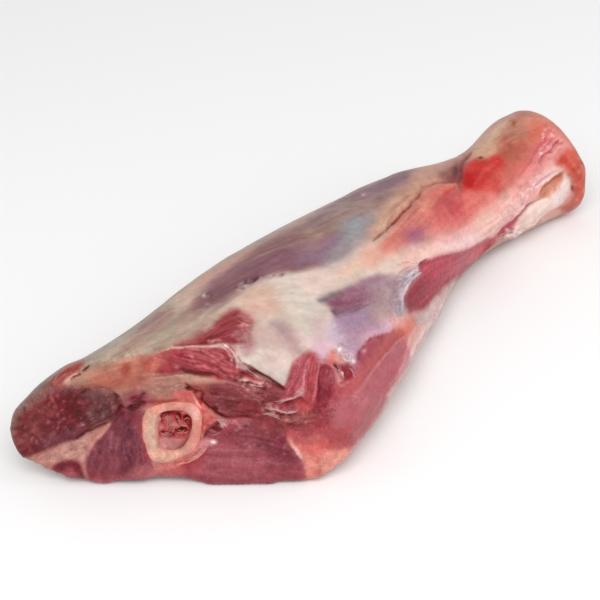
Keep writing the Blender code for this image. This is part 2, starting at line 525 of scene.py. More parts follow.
def flecks(outline, count, size, colours, strength=0.7, angle=0.0, height=0.0, seed=1, side="shown"):
    """Scatters small spots inside an outline."""
    chance = np.random.default_rng(seed)
    codes = colours.split()
    ring = smooth_line(outline, closed=True)
    low, high = ring.min(axis=0), ring.max(axis=0)
    places = chance.uniform(low, high, (4 * count, 2))
    for place in places[inside(places, ring)][:count]:
        scale = chance.uniform(0.6, 1.5)
        colour = codes[chance.integers(len(codes))]
        dot(place, (size[0] * scale, size[1] * scale), colour, strength * chance.uniform(0.5, 1.0),
            angle + chance.uniform(-25.0, 25.0), height, side)


def swell(line, height, reach, side="shown"):
    """Lifts the skin along a line, fading out over the reach to both sides."""
    line = smooth_line(line, closed=False)
    index, places, weight = near_to(side, line, 2.5 * reach)
    gap = to_line(places, line)[0]
    canvas.relief[index] += height * np.exp(-(gap / reach) ** 2) * weight


SAWN_LAYER = (1.0 * MM, 2.5 * MM)  # how deep behind the cut the saw's grain fades out
canvas = new_canvas(skin, outward)
canvas.speck += SAWN_SPECK * (1.0 - smoothstep(*SAWN_LAYER, depth_behind_cut(skin)))

# The laid tissue colours are as the tissues look in the studio's light, so besides their own colours some of
# their darker and lighter patches are painted shade and light on the hollows and bulges.
# The side that doesn't show is silverskin and fat over the same muscles, running along the leg. The
# knuckle's end is there too.
far_streak, canvas.grain[:] = streaks(canvas.sides["far"][0], 0.0, 30)
tint(np.arange(vertex_count), np.ones(vertex_count), "9c5a5c c79a90",
    0.6 * canvas.blotch + 0.4 * far_streak)
lay("-180,62 -180,-6 -70,-6 -92,62", "9c877a b29c8d", 12.0, 0.75, angle=2, side="far")
lay("-124,50 -40,52 20,45 66,38 62,24 0,20 -78,24 -134,32", "84646a 9a7a7a", 8.0, 0.75, angle=2, side="far")
lay("-64,18 0,15 60,17 112,22 104,6 30,2 -46,4", "cfb5a2 dac6b4", 6.0, 0.7, angle=2, side="far")
lay("92,50 108,-5 160,-5 160,58", "bd8474 ca9686", 10.0, 0.75, side="far")
lay("143,-5 160,-5 160,58 143,58", "ad6252 bd7664", 5.0, 0.65, side="far")
strands("-165,50 -60,52 40,46 130,44", "-165,6 -60,5 40,6 130,8", 44, "c8aa9c 805c5c b08880", 2.2, 0.4,
    seed=29, soft=1.6, stray=1.5, side="far")

# Under all the tissues of the shown side lies one coat of pinkish tan.
everywhere = "-131,-131 131,-131 131,131 -131,131"
lay(everywhere, "b58a80 c29a8e", fray=0.0, angle=28)

# The fell: the dry, thin skin left along the back edge of the thick end.
lay("-89,-24 -66,-6 -53,3 -42,12 -28,-2 -35,-7 -43,-13 -61,-22 -75,-25 -83,-30 -89,-31", "a69282 b8a493",
    3.0, angle=34, fibres=0.4, moist=0.35)
lay("-52,0 -45,7 -38,13 -34,11 -39,6 -50,-3", "c9a38e d0ab97", 2.8, 0.8, angle=38)
lay("-40,3 -38,-2 -43,-7 -48,-12 -49,-7", "a98276 b58e80", 2.6, 0.75, angle=40)
lay("-72,-18 -66,-11 -55,-3 -52,-5 -57,-11 -70,-20", "a87870 b4877e", 2.6, 0.85, angle=36)
draw("-67,-13 -59,-6.5 -56,-4.5", "8f5f66", 2.2, 1.4, 0.8)
draw("-74,-24 -57.5,-15.5 -45,-10.5 -35.5,-3.5", "c6aa98", 2.2, 1.4, 0.6)
draw("-89.5,-25.5 -53.5,3 -42,11.5", "969189", 3.0, 1.8, 0.75)
strands("-87,-27 -72,-16 -55,-3 -39,10", "-82,-30 -66,-21 -48,-14 -32,-2", 60,
    "cdb8a8 988472 c2a896 a88678", 0.6, 0.28, height=0.05, seed=38, stray=0.5)
lay("-52,0 -42,7 -41,3 -46,-2 -50,-3", "d3b3a2 dabcab", 2.6, 0.8, angle=40)

# The sheet of fascia that runs from it over the top of the sawn end.
lay("-96,-34 -86,-28 -74,-25 -57,-20 -61,-25 -61,-30 -52,-30 -41,-31 -26,-33 -25,-36 -35,-35 -51,-42"
    " -61,-43 -72,-40 -77,-37", "a87a6a b88c7a", 1.8, angle=8, fibres=0.6, moist=0.45, speck=0.3)
lay("-85,-33 -68,-25 -65,-27 -67,-32 -80,-35", "b4685a c67a66", 3.4, 0.85, angle=15)
lay("-71,-38 -64,-34 -55,-33 -45,-34 -51,-41 -59,-42", "a9766c b8857a", 2.4, 0.85, angle=5)
lay("-51,-30 -43,-30 -35,-32 -29,-33 -34,-35 -41,-34 -47,-34", "bf9080 cda18e", 1.4, angle=-6, fibres=0.6)
draw("-37.5,-32 -33,-33 -27,-33.5", "cf807e", 1.4, 0.6, 0.85, 0.2)
draw("-70.5,-32.5 -64,-32.5 -57.5,-31.5 -51,-30.5 -47.5,-30.5", "8e5148", 0.7, 0.4, 0.8, -0.3)
strands("-89,-31 -74,-26 -58,-21", "-80,-36 -66,-34 -45,-34", 34, "d3a292 96584c dcae9e", 0.55, 0.5,
    seed=31)
strands("-67,-34 -57,-32 -41,-32", "-61,-40 -53,-39 -45,-36", 22, "d0a294 8f5f58", 0.5, 0.5, seed=32)
flecks("-61,-34 -41,-33 -43,-37 -51,-40 -61,-40", 16, (0.7, 0.4), "dfb4a4 94564e", 0.6, 5.0, 0.1, 33)
lay("-86,-32 -77,-27 -58,-26 -57,-32 -67,-35 -85,-35", "ae6658 bb7464", 4.0, 0.5, angle=12)

# A flat muscle lies open under the membrane, red and loosely fibred.
lay("-64,-27 -61.5,-24 -57.5,-21.5 -51,-20 -41,-19.5 -33,-19.5 -28.5,-22 -25.5,-26 -22,-29 -18,-31.5"
    " -14,-33 -19.5,-34.5 -26,-33.5 -34.5,-32.5 -41,-31 -47.5,-30 -53.5,-30.5 -59,-30.5", "983b43 ad4e55",
    1.0, angle=-12, fibres=0.9, moist=0.7, speck=0.6, height=1.0, shoulder=2.5)
lay("-64,-27 -59,-23 -57,-25 -58,-28 -61,-30", "b8705f c0806c", 2.6, 0.8)
dot((-56, -25), (1.5, 1.2), "d08a80", 0.8, height=0.3)
draw("-50,-28 -46,-29 -39.5,-30.5 -33.5,-31", "652a30", 2.0, 0.8, 0.9, -0.8)
dot((-50.5, -27), (1.2, 1.0), "c99490", 0.85, height=0.4)
strands("-49,-20 -39,-21 -25,-30", "-52,-26 -39,-29 -28,-32", 80, "c4686c 7a2630 cf7c7a 92323c", 0.55, 0.6,
    height=0.12, seed=34, stray=0.4)
strands("-41,-20 -33,-21 -25,-27", "-35,-28 -28,-30 -18,-33", 40, "c76c6e 7c2832 d08684", 0.5, 0.6,
    height=0.12, seed=35, stray=0.4)
strands("-30,-27 -25,-31 -16,-33", "-34,-31 -28,-33 -20,-34", 20, "d08c88 6c2c30", 0.5, 0.7, height=0.2,
    seed=36)
flecks("-52,-21 -33,-20 -23,-30 -35,-30 -50,-27", 34, (0.7, 0.35), "d48e8c 6e222c", 0.6, -20.0, 0.15, 37)
lay("-58,-23 -52,-21 -50,-25 -53,-28 -57,-27", "9e4646 a85050", 2.2, 0.6)

# Above it, a dark muscle lies sunk below the fat's edge.
lay("-51,-19 -45,-16 -39,-11 -34,-7 -28,-4 -23,-4 -20,-7 -19,-11 -20,-16 -23,-18 -28,-18 -33,-18 -41,-19",
    "8a353b 9c484c", 1.5, fray=1.0, angle=30, fibres=0.9, moist=0.7, speck=0.5, height=-0.9, shoulder=2.0)
draw("-24.5,-17 -22,-15 -20,-12.5 -20.5,-8", "74272f", 1.3, 0.8, 0.75, -0.4)
draw("-50,-18.5 -42.5,-15 -33,-6.5", "99635a", 2.2, 1.6, 0.65)
strands("-39,-14 -32,-8 -25,-5 -20,-7", "-41,-18 -32,-17 -25,-16 -20,-14", 34, "b25a5c 6c242c c27070", 0.5,
    0.55, seed=56)
strands("-25,-5 -21,-7 -20,-11", "-27,-7 -23,-10 -22,-14", 12, "d4827e 792a32", 0.5, 0.7, height=0.15,
    seed=57)
# The pale pink flecks here are painted glints of wet shine on the dark muscle.
flecks("-28,-12 -24,-9 -20,-10 -20,-15 -25,-17 -28,-16", 20, (0.7, 0.5), "f0c8c8 e0a0a0", 0.85, 35.0, 0.35,
    58)
flecks("-38,-16 -34,-16 -33,-17 -36,-18", 6, (0.7, 0.5), "e8b8b4", 0.8, 10.0, 0.3, 59)
flecks("-27,-18 -22,-17 -20,-20 -25,-21", 10, (0.8, 0.5), "ecd0cc 8a4450", 0.75, 0.0, 0.25, 60)
dot((-28, -11.5), (4.0, 3.0), "8c3a40", 0.6, angle=30)

# The cream fat that caps the joint, pressed smooth, and the flap it ends in.
lay("-39,-12 -35,-7 -30,-2 -25,2 -20,7 -15,8 -7,11 2,12 10,15 16,18 21,21 28,25 34,28 40,30 49,25 57,20"
    " 51,17 46,13 39,10 33,9 23,7 15,2 9,0 13,-5 15,-9 13,-13 16,-17 18,-20 12,-22 7,-24 4,-21 0,-22"
    " -2,-25 -4,-30 -7,-36 -11,-34 -16,-32 -20,-27 -25,-24 -27,-20 -22,-18 -19,-14 -17,-9 -20,-5 -25,-2"
    " -31,-4", "d0beb1 e0cfc4", 2.4, fray=1.2, moist=0.75, speck=0.08, height=0.5, shoulder=4.0)
lay("-41,-13 -28,-2 -20,3 -16,1 -22,-3 -27,-2", "bfa18b cfb29c", 2.8, 0.85, angle=30)
lay("-27,1 -19,6 -10,6 -7,1 -22,-4", "d8b5a3 dfc0af", 4.0, 0.9)
lay("-22,-3 -16,1 -7,0 -8,-6 -20,-6", "dca896 e3b7a6", 4.0, 0.85)
lay("-7,9 2,10 5,4 0,-15 -7,-5", "d8c7b8 decfc2", 4.0, 0.9)
lay("2,-1 9,-2 12,-7 11,-14 7,-18 2,-17 0,-11", "d6cabd d2c7bc", 3.4, 0.9)
lay("0,10 11,13 19,16 16,9 3,1", "e4c9be e8cec4", 3.6, 0.85, angle=25)
lay("16,14 31,23 39,24 40,19 22,10 16,9", "e2bda8 e8c6b2", 3.6, 0.9, angle=22)
lay("24,20 31,23 43,20 35,16 29,13", "e2a292 e6ae9e", 3.6, 0.85)
lay("34,15 42,18 49,17 40,10 34,11", "e3c5b8 e8cdc0", 2.8, 0.9, angle=15)
# The two greyish mauve lines below are painted shade along the fat's fold, over a shallow sunk relief.
draw("-13,-9 -9,-10.5 -5,-14 -2.5,-18 -1,-22", "a99496 b9a2a0", 4.2, 2.6, 0.75, -0.5)
draw("-10,-10 -5.5,-13.5 -3,-18.5", "9f8c8d", 1.0, 1.2, 0.6, -0.4)
strands("-16,4 -4,8 12,11 29,18", "-20,-5 -8,-7 5,-12 12,-16", 26, "efe2d8 c3ada2", 0.7, 0.3, seed=41,
    soft=0.8)
lay("-22,-13 -13,-12 -4,-15 0,-20 -3,-28 -10,-27 -22,-19", "c9aaa2 d8bab0", 4.0, 0.6, angle=40)
lay("6,-7 15,-7 16,-14 13,-20 7,-20 4,-15", "cfaaac d8b4b6", 3.0, 0.6)
lay("-20,-7 0,-14 -3,-20 0,-25 -6,-30 -20,-18", "cdaaa4 d9bcb2", 5.0, 0.5, angle=40)

# The flap hangs over the cut muscles with a thick, bright edge.
lay("-26,-21.5 -22,-18.5 -15.5,-17 -10,-19 -5,-20.5 -3,-24.5 -3.5,-29.5 -6,-36 -10,-35 -15,-31.5"
    " -19.5,-27.5 -24,-24.5", "d2c3ba e2d2c8", 1.2, moist=0.8, speck=0.1, height=1.1, shoulder=1.6)
# The dark line just below the flap's edge is a painted shadow that the flap casts, over a sunk relief.
draw("-24.5,-25.5 -19,-29 -13,-33 -7.5,-36.5", "8c4a48", 1.1, strength=0.6, height=-0.9)
draw("-23.5,-24.5 -18,-28 -12.5,-32 -8,-35.5", "efe2da", 0.8, 0.5, 0.6, 0.3)
strands("-24,-21 -18,-25 -11,-32", "-16,-18 -9,-21 -5,-26", 14, "f2e6de b9a49c", 0.6, 0.4, height=0.15,
    seed=42)
lay("-27,-13 -23,-12 -19,-15 -18,-19 -22,-22", "9a5a60 a8706f", 2.4, 0.65)

# Silverskin over the blade muscle, mauve where the flesh shows through it.
lay("-43,-5 -43,0 -33,11 -16,22 2,30 15,34 19,30 20,25 18,20 12,16 0,12 -15,10 -30,0 -37,-3",
    "8a6165 986c72", 2.4, fray=1.2, angle=28, fibres=0.5, moist=0.6)
lay("-25,13 -16,18 -6,22 1,20 -1,16 -20,10", "825663 8e6270", 3.2, 0.9, angle=24)
lay("-1,19 13,25 18,22 14,18 0,14", "8a6a80 967488", 3.6, 0.85, angle=20)
lay("-39,1 -32,7 -25,10 -24,6 -37,-2", "7f5357 8a5f64", 2.6, 0.9, angle=30)
lay("-25,18 -14,24 -2,30 9,32 15,30 5,25 -10,21 -20,16", "8e6464 9a726c", 3.0, 0.85, angle=26, fibres=0.7)
draw("-42,5.5 -35.5,11.5 -19,21.5", "cf9c8d", 3.2, 2.2, 0.8)
draw("-38.5,11.5 -28.5,18 -6.5,30 2.5,34", "a79d95", 1.8, 1.4, 0.6)
draw("-42.5,-4 -37,-3.5 -24,3.5 -18,7.5 0,11.5", "b9a199", 1.6, 1.4, 0.5)
strands("-38,5 -25,16 -8,25 12,32", "-39,-3 -23,5 -6,13 18,20", 36, "a07c78 774e56 a88482 7e5866", 0.7,
    0.28, seed=43, soft=0.6)
strands("-23,17 -8,25 7,30 16,31", "-20,16 -7,21 7,25 18,26", 14, "b89a90 805a5a", 0.5, 0.35, seed=44)
strands("-26,5 -20,8 -15,10", "-25,7 -19,10 -7,13", 12, "5f3a44", 0.9, 0.55, height=-0.2, seed=45)
flecks("-27,4 -24,8 -17,10 -7,12 -7,10 -16,9 -22,6 -25,3", 26, (0.8, 0.5), "d9c2bc 5c3a42", 0.75, 25.0,
    0.15, 46)
flecks("-41,-1 -39,3 -36,3 -37,-2 -40,-4", 14, (0.7, 0.5), "dcc4bc 6e484c", 0.7, 30.0, 0.15, 47)
# A painted glint of wet shine on the silverskin.
dot((-39, 1.5), (0.9, 0.8), "e2d3cc", 0.9, height=0.25)
dot((5, 21.5), (5.0, 3.0), "aa868a", 0.6, angle=22)

# Tan and grey bands of sheath along the top of the leg.
lay("0,29 10,35 18,40 28,43 34,43 32,39 15,30 7,25", "93746c aa8b7e", 2.2, angle=22, fibres=0.7, moist=0.5)
lay("9,16 13,21 18,32 25,36 33,33 16,16", "91878e a0979a", 5.0, fray=1.2, strength=0.9, angle=30, moist=0.7)
dot((21.5, 30.5), (5.0, 4.6), "9ba2a3", 0.75, angle=30)
lay("2,31 11,39 31,49 42,53 48,54 47,49 33,41 23,38", "83686d 94787a", 2.4, angle=22, fibres=0.5,
    moist=0.55)
lay("21,42 39,50 43,48 35,43 26,39", "86616f 8f6b7c", 2.6, 0.8, angle=24)
lay("12,36 25,40 30,39 21,36 14,33", "a98c80 b79a8b", 2.0, 0.75, angle=20)
dot((26, 43), (0.9, 0.8), "dba8b2", 0.9, height=0.2)
draw("18,37 35.5,44 42.5,46", "ab8f80", 1.8, 1.4, 0.7)
strands("2,32 12,39 26,46 45,52", "2,25 14,30 25,35 43,44", 40, "b09888 806068 a48a80 8b6a6a", 0.7, 0.3,
    seed=48, soft=0.6)
strands("1,34 11,39 20,41", "2,26 10,30 19,34", 18, "c0a396 7c5658", 0.5, 0.4, seed=49)
draw("13,34.5 18,36.5 23,37.5", "cfa79c", 0.5, 0.4, 0.7, 0.2)

# The shank's tan sheath, with a crease where the two muscles part.
lay("29,25 31,32 49,51 57,54 65,57 65,48 53,47 49,43 41,33 32,25", "c99a86 d4a692", 2.8, angle=32,
    fibres=0.4, moist=0.6)
lay("39,45 46,50 56,54 64,56 65,52 49,48 43,43", "b08474 be907e", 2.6, 0.85, angle=22)
lay("30,30 39,41 43,39 39,34 34,29", "cda48f d3ac96", 3.0, 0.85, angle=42)
lay("57,52 66,57 67,52 65,48 61,49", "8a504e 975c58", 2.0, 0.85)
dot((64, 53), (1.4, 2.8), "5e3440", 0.85, angle=-20, height=-0.4)
dot((62.5, 49.5), (2.4, 0.9), "6c3434", 0.8, angle=-10, height=-0.3)
lay("34,24 39,30 43,35 48,41 52,45 57,48 64,48 67,44 70,39 71,32 66,29 57,27 51,26 45,23 39,20 34,20",
    "cd7268 d68072", 2.6, fray=1.0, angle=40, fibres=0.4, moist=0.75, height=0.7)
lay("36,23 42,30 47,34 48,31 39,22", "d68a7a dd9684", 2.8, 0.8, angle=45)
dot((51, 38.5), (3.4, 2.8), "e29c88", 0.85, angle=45)
draw("64,46.5 61,44.5 58.5,42.5", "bd4034", 1.4, 1.0, 0.8, -0.3)
lay("56,42 68,45 71,32 57,30 53,34", "c2565a cc6266", 3.6, 0.65, angle=40)
dot((60.5, 39.5), (3.0, 4.0), "b3565a", 0.7, angle=60)
dot((64, 36), (3.0, 4.4), "c35055", 0.75)
# The crease's dark lines are painted shade as well as sunk relief.
draw("29.5,24.5 32,26.5 35,28.5", "84564a", 1.0, 0.6, 0.85, -0.6)
draw("35,28.5 37.5,31.5 41,35 44.5,38.5 47.5,42 49.5,44.5", "8c302f", 1.1, 0.45, 0.95, -1.6, taper=0.35)
draw("48.5,43.5 51,46.5 54,48 60,49 65,49", "96503f", 0.9, 0.7, 0.75, -0.9)
strands("34,23 43,32 52,44", "43,22 52,30 64,45", 34, "e8a290 b44e48 df8c7e a8505a", 0.6, 0.4, height=0.1,
    seed=130, stray=0.6, soft=0.6)
strands("31,30 39,39 57,52", "36,30 43,38 58,48", 26, "dcb49c 96685a d8967e", 0.55, 0.4, seed=131, soft=0.6)

# The knuckle: tan gristle and skin on top, blood-red where the joint was bruised.
lay("66,49 66,56 70,61 75,67 80,73 85,75 91,78 96,79 102,75 108,69 105,64 98,58 93,52 87,48 82,43 75,39"
    " 69,39 66,43", "c26a5e cc786a", 2.2, angle=-35, fibres=0.35, moist=0.7, height=0.6)
lay("70,59 72,64 81,73 85,74 85,69 82,64 80,59 72,57", "cfa38a d9b096", 2.2, 0.95, moist=0.6)
lay("85,73 89,77 96,78 103,71 98,67 85,66", "c08270 ca8e7a", 2.6, 0.95)
lay("94,71 98,74 104,68 100,66 95,66", "d6705e dd7c6a", 2.6, 0.85)
lay("82,62 87,66 93,65 93,61 89,57 83,57", "ab6052 b86a5c", 3.0, 0.85)
lay("67,46 67,54 71,57 76,57 81,59 84,57 85,52 83,48 81,44 70,44", "c23c3a cb4a44", 1.8, 0.95, moist=0.85)
dot((68.5, 48.5), (2.0, 3.4), "b8242a", 0.85)
lay("84,55 96,58 88,48 84,45 82,49", "c8685c d07468", 2.6, 0.85, angle=50)
draw("69.5,61 67,57 66,51.5 65.5,46", "70383a", 1.6, 1.0, 0.8, -0.9)
draw("66,46.5 66,41 67,35.5", "a8424a", 1.2, 1.0, 0.7, -0.3)
dot((87.5, 72), (0.8, 0.9), "b0521e", 1.0, height=-0.3)
dot((86, 74), (0.7, 0.5), "7c4a30", 0.9, height=-0.3)
dot((74, 58), (0.9, 0.5), "5c3024", 0.95, height=-0.3)
lay("67,44 80,43 83,39 76,36 71,32 67,33", "d96a64 e27c70", 2.6, 0.85, angle=40, moist=0.8)
draw("85.5,41 80.5,37.5 75.5,33.5", "f0b8a4", 1.0, 0.8, 0.7, 0.2)
strands("68,46 75,54 84,61", "76,43 84,49 93,58", 20, "cc6a60 a84444 cf766c", 0.7, 0.22, height=0.05,
    seed=132, stray=0.6, soft=0.6)
strands("76,66 84,70 92,76", "82,61 90,66 101,72", 22, "deb89e a26a58", 0.6, 0.35, seed=133, soft=0.7,
    stray=0.6)
lay("71,64 76,70 87,77 86,73 81,69 74,61", "d8b29c deb8a2", 2.4, 0.7)
lay("45,52 53,56 61,57 61,53 48,49", "c89a8a cfa594", 2.4, 0.7, angle=20)

# Wrinkled coral skin runs over the knuckle's end.
lay("98,66 102,71 106,69 112,64 109,61 105,63 102,59 94,50 90,45 88,47 91,52", "d2706e de8482", 2.0,
    angle=55, fibres=0.6, moist=0.85)
# The dark red crease lines are partly painted shade in the wrinkles, over sunk relief.
draw("107.5,65 104.5,63.5 102,61 100.5,60", "923844", 0.7, 0.4, 0.85, -0.6)
draw("100.5,60 99,58 97.5,56", "82303a", 1.1, 0.4, 0.85, -0.6)
draw("100,66.5 97.5,62.5 95,57.5 92.5,53.5 89.5,49", "c0545a", 0.8, 0.6, 0.7, -0.4)
draw("102.5,65.5 100,62 98.5,59.5", "b84a52", 0.7, 0.5, 0.7, -0.4)
lay("98,74 103,75 108,70 113,63 111,61 102,71", "d98878 de9488", 2.2, 0.85)
lay("102,61 107,64 112,61 113,58 110,54 104,53 101,56", "dd8e8a e69c96", 2.0, 0.9)
# The pale pink strands and flecks and the two near-white dots are painted highlights on the wet wrinkles;
# the darker strands and flecks are partly painted shade between them.
strands("104,71 101,66 97,61 92,52", "109,63 105,61 101,57 95,49", 36, "eca0a0 b8505a e89090 f4b8b8", 0.45,
    0.45, height=0.05, seed=134, stray=0.5, soft=0.35)
flecks("98,67 103,71 107,66 103,61 99,57 97,59", 26, (0.5, 0.35), "fbc8cc f4a8ac a84450", 0.7, 50.0, 0.08,
    135)
dot((103, 67), (1.2, 0.8), "fbb4b4", 0.9, height=0.12)
dot((99, 60), (0.7, 0.5), "fce0e0", 0.9, height=0.12)

# Pale membrane stretches down the shank's front, to the hock tendon.
lay("41,16 46,20 52,23 57,26 64,28 70,31 73,35 78,39 84,43 90,48 97,54 103,57 109,54 107,49 102,45 98,41"
    " 93,38 88,33 83,29 78,25 71,21 64,20 57,18 51,16 46,12 43,12", "e8aea6 efbeb4", 2.2, fray=1.2,
    angle=30, fibres=0.35, moist=0.85, speck=0.15, height=0.4)
lay("71,31 76,35 82,36 84,32 72,26", "e9bfb0 eec8b8", 3.0, 0.85, angle=20)
lay("56,20 62,25 71,27 75,25 70,22", "efc8c8 f2d2d0", 2.0, 0.9, angle=18)
lay("56,25 62,27 70,30 73,29 59,23", "e2a2a4 e8b0b2", 2.4, 0.8, angle=20)
lay("44,16 51,20 57,23 57,20 47,13", "ecc4b8 f0ccc0", 2.2, 0.8, angle=30)
lay("93,48 98,52 102,54 107,52 103,49 98,46 94,44", "ecb8b6 f4d0ce", 1.8, 0.9, angle=35, fibres=0.6,
    height=0.5)
draw("106.5,52.5 103.5,52.5 100,50 96,47 92.5,46", "bb8a8e", 0.7, 0.5, 0.75, -0.4)
draw("107.5,53.5 103.5,51 99,47.5", "fae4e0", 1.0, 0.6, 0.8, 0.4)
draw("87,42.5 84.5,40 82,38", "f6d8cc", 1.0, 0.6, 0.7, 0.3)
lay("90,47 95,46 101,46 96,39 88,43", "e6a09a eaaaa4", 2.4, 0.8)
strands("70,28 82,36 96,48", "78,25 89,34 103,46", 44, "f8dcd6 cf8886 f2c8c4 dba09c", 0.5, 0.5, height=0.15,
    seed=136, stray=0.6, soft=0.45)
# Its near-white flecks are painted glints of wet shine, among darker specks.
flecks("89,45 92,49 96,52 98,48 94,44 90,42", 50, (0.5, 0.34), "fdecec b08488 fbd4d4 c49498", 0.75, 30.0,
    0.2, 137)
flecks("82,37 89,43 96,43 94,39 87,33", 30, (0.55, 0.38), "fbe2de c4888a", 0.7, 30.0, 0.2, 138)
lay("85,45 94,52 94,48 90,43 86,41", "dd8e88 e49a94", 2.6, 0.55)
draw("38.5,19.5 71.5,33.5 84.5,43.5", "e09a90", 5.0, 4.0, 0.5)
dot((47, 26), (5.0, 3.2), "9c6080", 0.75, angle=30)
lay("92,49 96,56 101,59 102,55 93,47", "d47c78 dc8a86", 2.4, 0.6)

# The hock tendon, white and thick, under the knuckle.
lay("107.5,52 110.5,49.5 112,45 110,41 105,37.5 100,34.5 94.5,30.5 89.5,27.5 85,26 83.5,28 87.5,31 92,35"
    " 96,38.5 101,42.5 104,46.5", "e4c4b8 eed2c8", 1.2, angle=38, fibres=0.5, moist=0.9, speck=0.15,
    height=1.5, shoulder=2.4)
lay("103,45 107,50 110,44 107,41 103,40", "eed8d4 f2dedc", 1.8, 0.85, angle=50)
draw("101,42 97,40 92.5,37.5 89.5,33.5", "96545a", 0.7, 0.4, 0.9, -1.0)
draw("90,35 87.5,31.5 85,29 82,26.5", "a8485a", 1.8, 0.8, 0.85, -1.0)
draw("101,41.5 97,39.5 93,36 90,33", "f8dcd2", 1.0, 0.5, 0.85, 0.4)
lay("107.5,52 103.5,51 100.5,47.5 98.5,44 99,41.5 101.5,42.5 104.5,45.5 106.5,49", "c4765e cf8870", 0.9,
    height=-1.2, shoulder=1.0)
draw("107.5,51.5 104,49 101.5,46.5 99,43.5", "a04c42", 0.8, 0.5, 0.8, -0.3)
strands("90,32 98,39 107,46", "87,26 95,30 107,39", 30, "f6e6e2 c8a294 ecd0c6", 0.5, 0.5, height=0.15,
    seed=139)
strands("83,27 86,29 89,31", "84,25 88,26 90,28", 14, "f6dedc b06a70", 0.45, 0.8, height=0.3, seed=140,
    soft=0.35, stray=0.5)
flecks("82,27 87,30 90,30 88,26 84,25", 16, (0.55, 0.4), "fbe8e8 a05862", 0.85, 30.0, 0.3, 141)
dot((103.5, 46.5), (3.6, 1.8), "d8a08e", 0.5, angle=50)

# The knuckle's far end, rust-brown where it dried.
lay("107,60 112,62 115,57 118,45 111,37 106,36 100,34 105,38 109,40 112,45 111,50 108,54 105,56",
    "c04c42 cc6050", 2.0, moist=0.7)
dot((111.5, 46), (0.8, 1.4), "86282a", 0.95, height=-0.3)
draw("112.5,40 108,37.5 102.5,35.5 91,28.5", "a86e60", 2.0, 1.2, 0.7)
strands("109,60 113,53 114,43", "114,59 117,51 116,43", 16, "e08a74 96382e", 0.5, 0.5, height=0.12,
    seed=142)
flecks("109,60 115,57 118,47 112,39 112,47 110,54", 20, (0.7, 0.5), "e69c84 8c3028", 0.6, 80.0, 0.15, 143)
lay("98,34 102,38 107,38 105,34 99,32", "e0b2aa e6bdb4", 2.0, 0.7)
dot((110, 42), (3.0, 2.4), "c8786c", 0.6, angle=60)

# The thin red line of muscle under the shank, and the dark slab it opens into.
draw("87,32 82,27 76.5,23 70.5,19.5", "bf4c56", 1.6, 0.9, 0.8, -0.4)
lay("42,1.5 43,5.5 46.5,8.5 48.5,12 51,15.5 56,17.5 62.5,19 68,20.5 74,23.5 78.5,25.5 80.5,24 76.5,20.5"
    " 71.5,16.5 67,12.5 63,8 59,4 55,1 51.5,-2.5 46.5,-5 44,-5.5", "9a3a48 a74855", 0.8, fray=0.7, angle=38,
    fibres=0.7, moist=0.8, speck=0.3, height=-0.8, shoulder=1.2)
lay("44,5 49,7 55,4 52,0 44,-5", "8c323e 983e48", 3.0, 0.85, angle=38, fibres=0.7)
dot((44.5, -1.5), (2.6, 4.0), "7c3038", 0.7, angle=20)
lay("52,15 72,20 78,23 71,16 61,11 53,10", "b84c5a c25a66", 3.0, 0.8, angle=30, fibres=0.7)
lay("70,20 75,23 80,25 76,20 71,17", "c85660 cf6268", 1.8, 0.8)
draw("46.5,9.5 48.5,12.5 50,15 52.5,17", "6b2a30", 0.8, 0.4, 0.8, -0.6)
draw("53.5,17.5 61.5,19.5 69.5,21.5 76.5,24.5", "e2989e", 0.8, 0.6, 0.7, 0.2)
draw("80.5,23.5 68,12.5 62.5,6.5 56.5,1.5", "7c3a40", 0.9, 0.6, 0.7)
strands("44,2 51,13 62,18 75,23", "48,-3 57,4 66,13 77,22", 40, "bd606a 84303a b85662 c8747c", 0.6, 0.3,
    seed=144, stray=0.5)

# Lacy tags of membrane between the slab and the fat.
lay("35,6 39,9 48,14 48,11 43,2 44,-7 39,-9 35,-7", "bfa4ac cdb2b8", 2.2, fray=1.2, angle=50, fibres=0.6,
    moist=0.8)
draw("39,4 40,0 40.5,-4 41,-6.5", "83848f", 2.0, 1.2, 0.85, -0.5)
draw("40.5,-2.5 41.5,-5 42,-6.5", "74808c", 1.4, 0.8, 0.7, -0.3)
strands("49,14 44,11 41,7 39,2", "50,12 46,7 43,2 43,-4", 30, "efe4e6 e2d2d6 8e8490 d6b7bf", 0.55, 0.85,
    height=0.25, seed=52, soft=0.35, stray=0.4)
strands("47,12 42,10 38,7", "46,10 42,7 39,2", 16, "efe2e2 857a86", 0.5, 0.75, height=0.2, seed=53,
    soft=0.35, stray=0.5)
strands("39,3 39,-2 40,-7", "43,0 42,-4 43,-7", 16, "e6dde2 8b8a98", 0.5, 0.75, height=0.2, seed=54,
    soft=0.35, stray=0.4)
flecks("38,6 42,10 46,12 46,8 43,2 42,-2 39,-2", 22, (0.6, 0.4), "f4ecec 7d7784", 0.8, 50.0, 0.2, 55)

# The second window in the fat, over a muscle seen dark purple through its skin.
lay("8,0 13,2 18,4 24,6 30,9 37,10 41,7 40,1 39,-6 35,-11 27,-14 19,-14 14,-12 15,-8 14,-5 11,-2",
    "9b7c8a a88c94", 2.6, fray=1.0, angle=18, fibres=0.5, moist=0.8, height=-0.5)
lay("12,-1 21,4 27,5 30,2 20,-4", "86505f 905a6d", 2.4, 1.0, angle=18, fibres=0.6)
draw("13,-4.5 17,-5 21.5,-4 25.5,-1.5", "6b4656", 2.4, 1.4, 0.9, -0.3)
draw("7.5,-0.5 15,2 18,3.5", "7d6a6c", 2.0, 1.2, 0.85)
draw("18,3.5 28.5,8 34.5,9", "9a7288", 2.0, 1.6, 0.7)
lay("14,-10 16,-7 27,-4 30,-7 27,-11 21,-14 16,-14", "9f88a6 a88fac", 2.8, 0.95, angle=20)
lay("30,4 35,7 38,3 38,-3 34,-7 30,-5", "ac8f90 b59a98", 3.2, 0.9, angle=70)
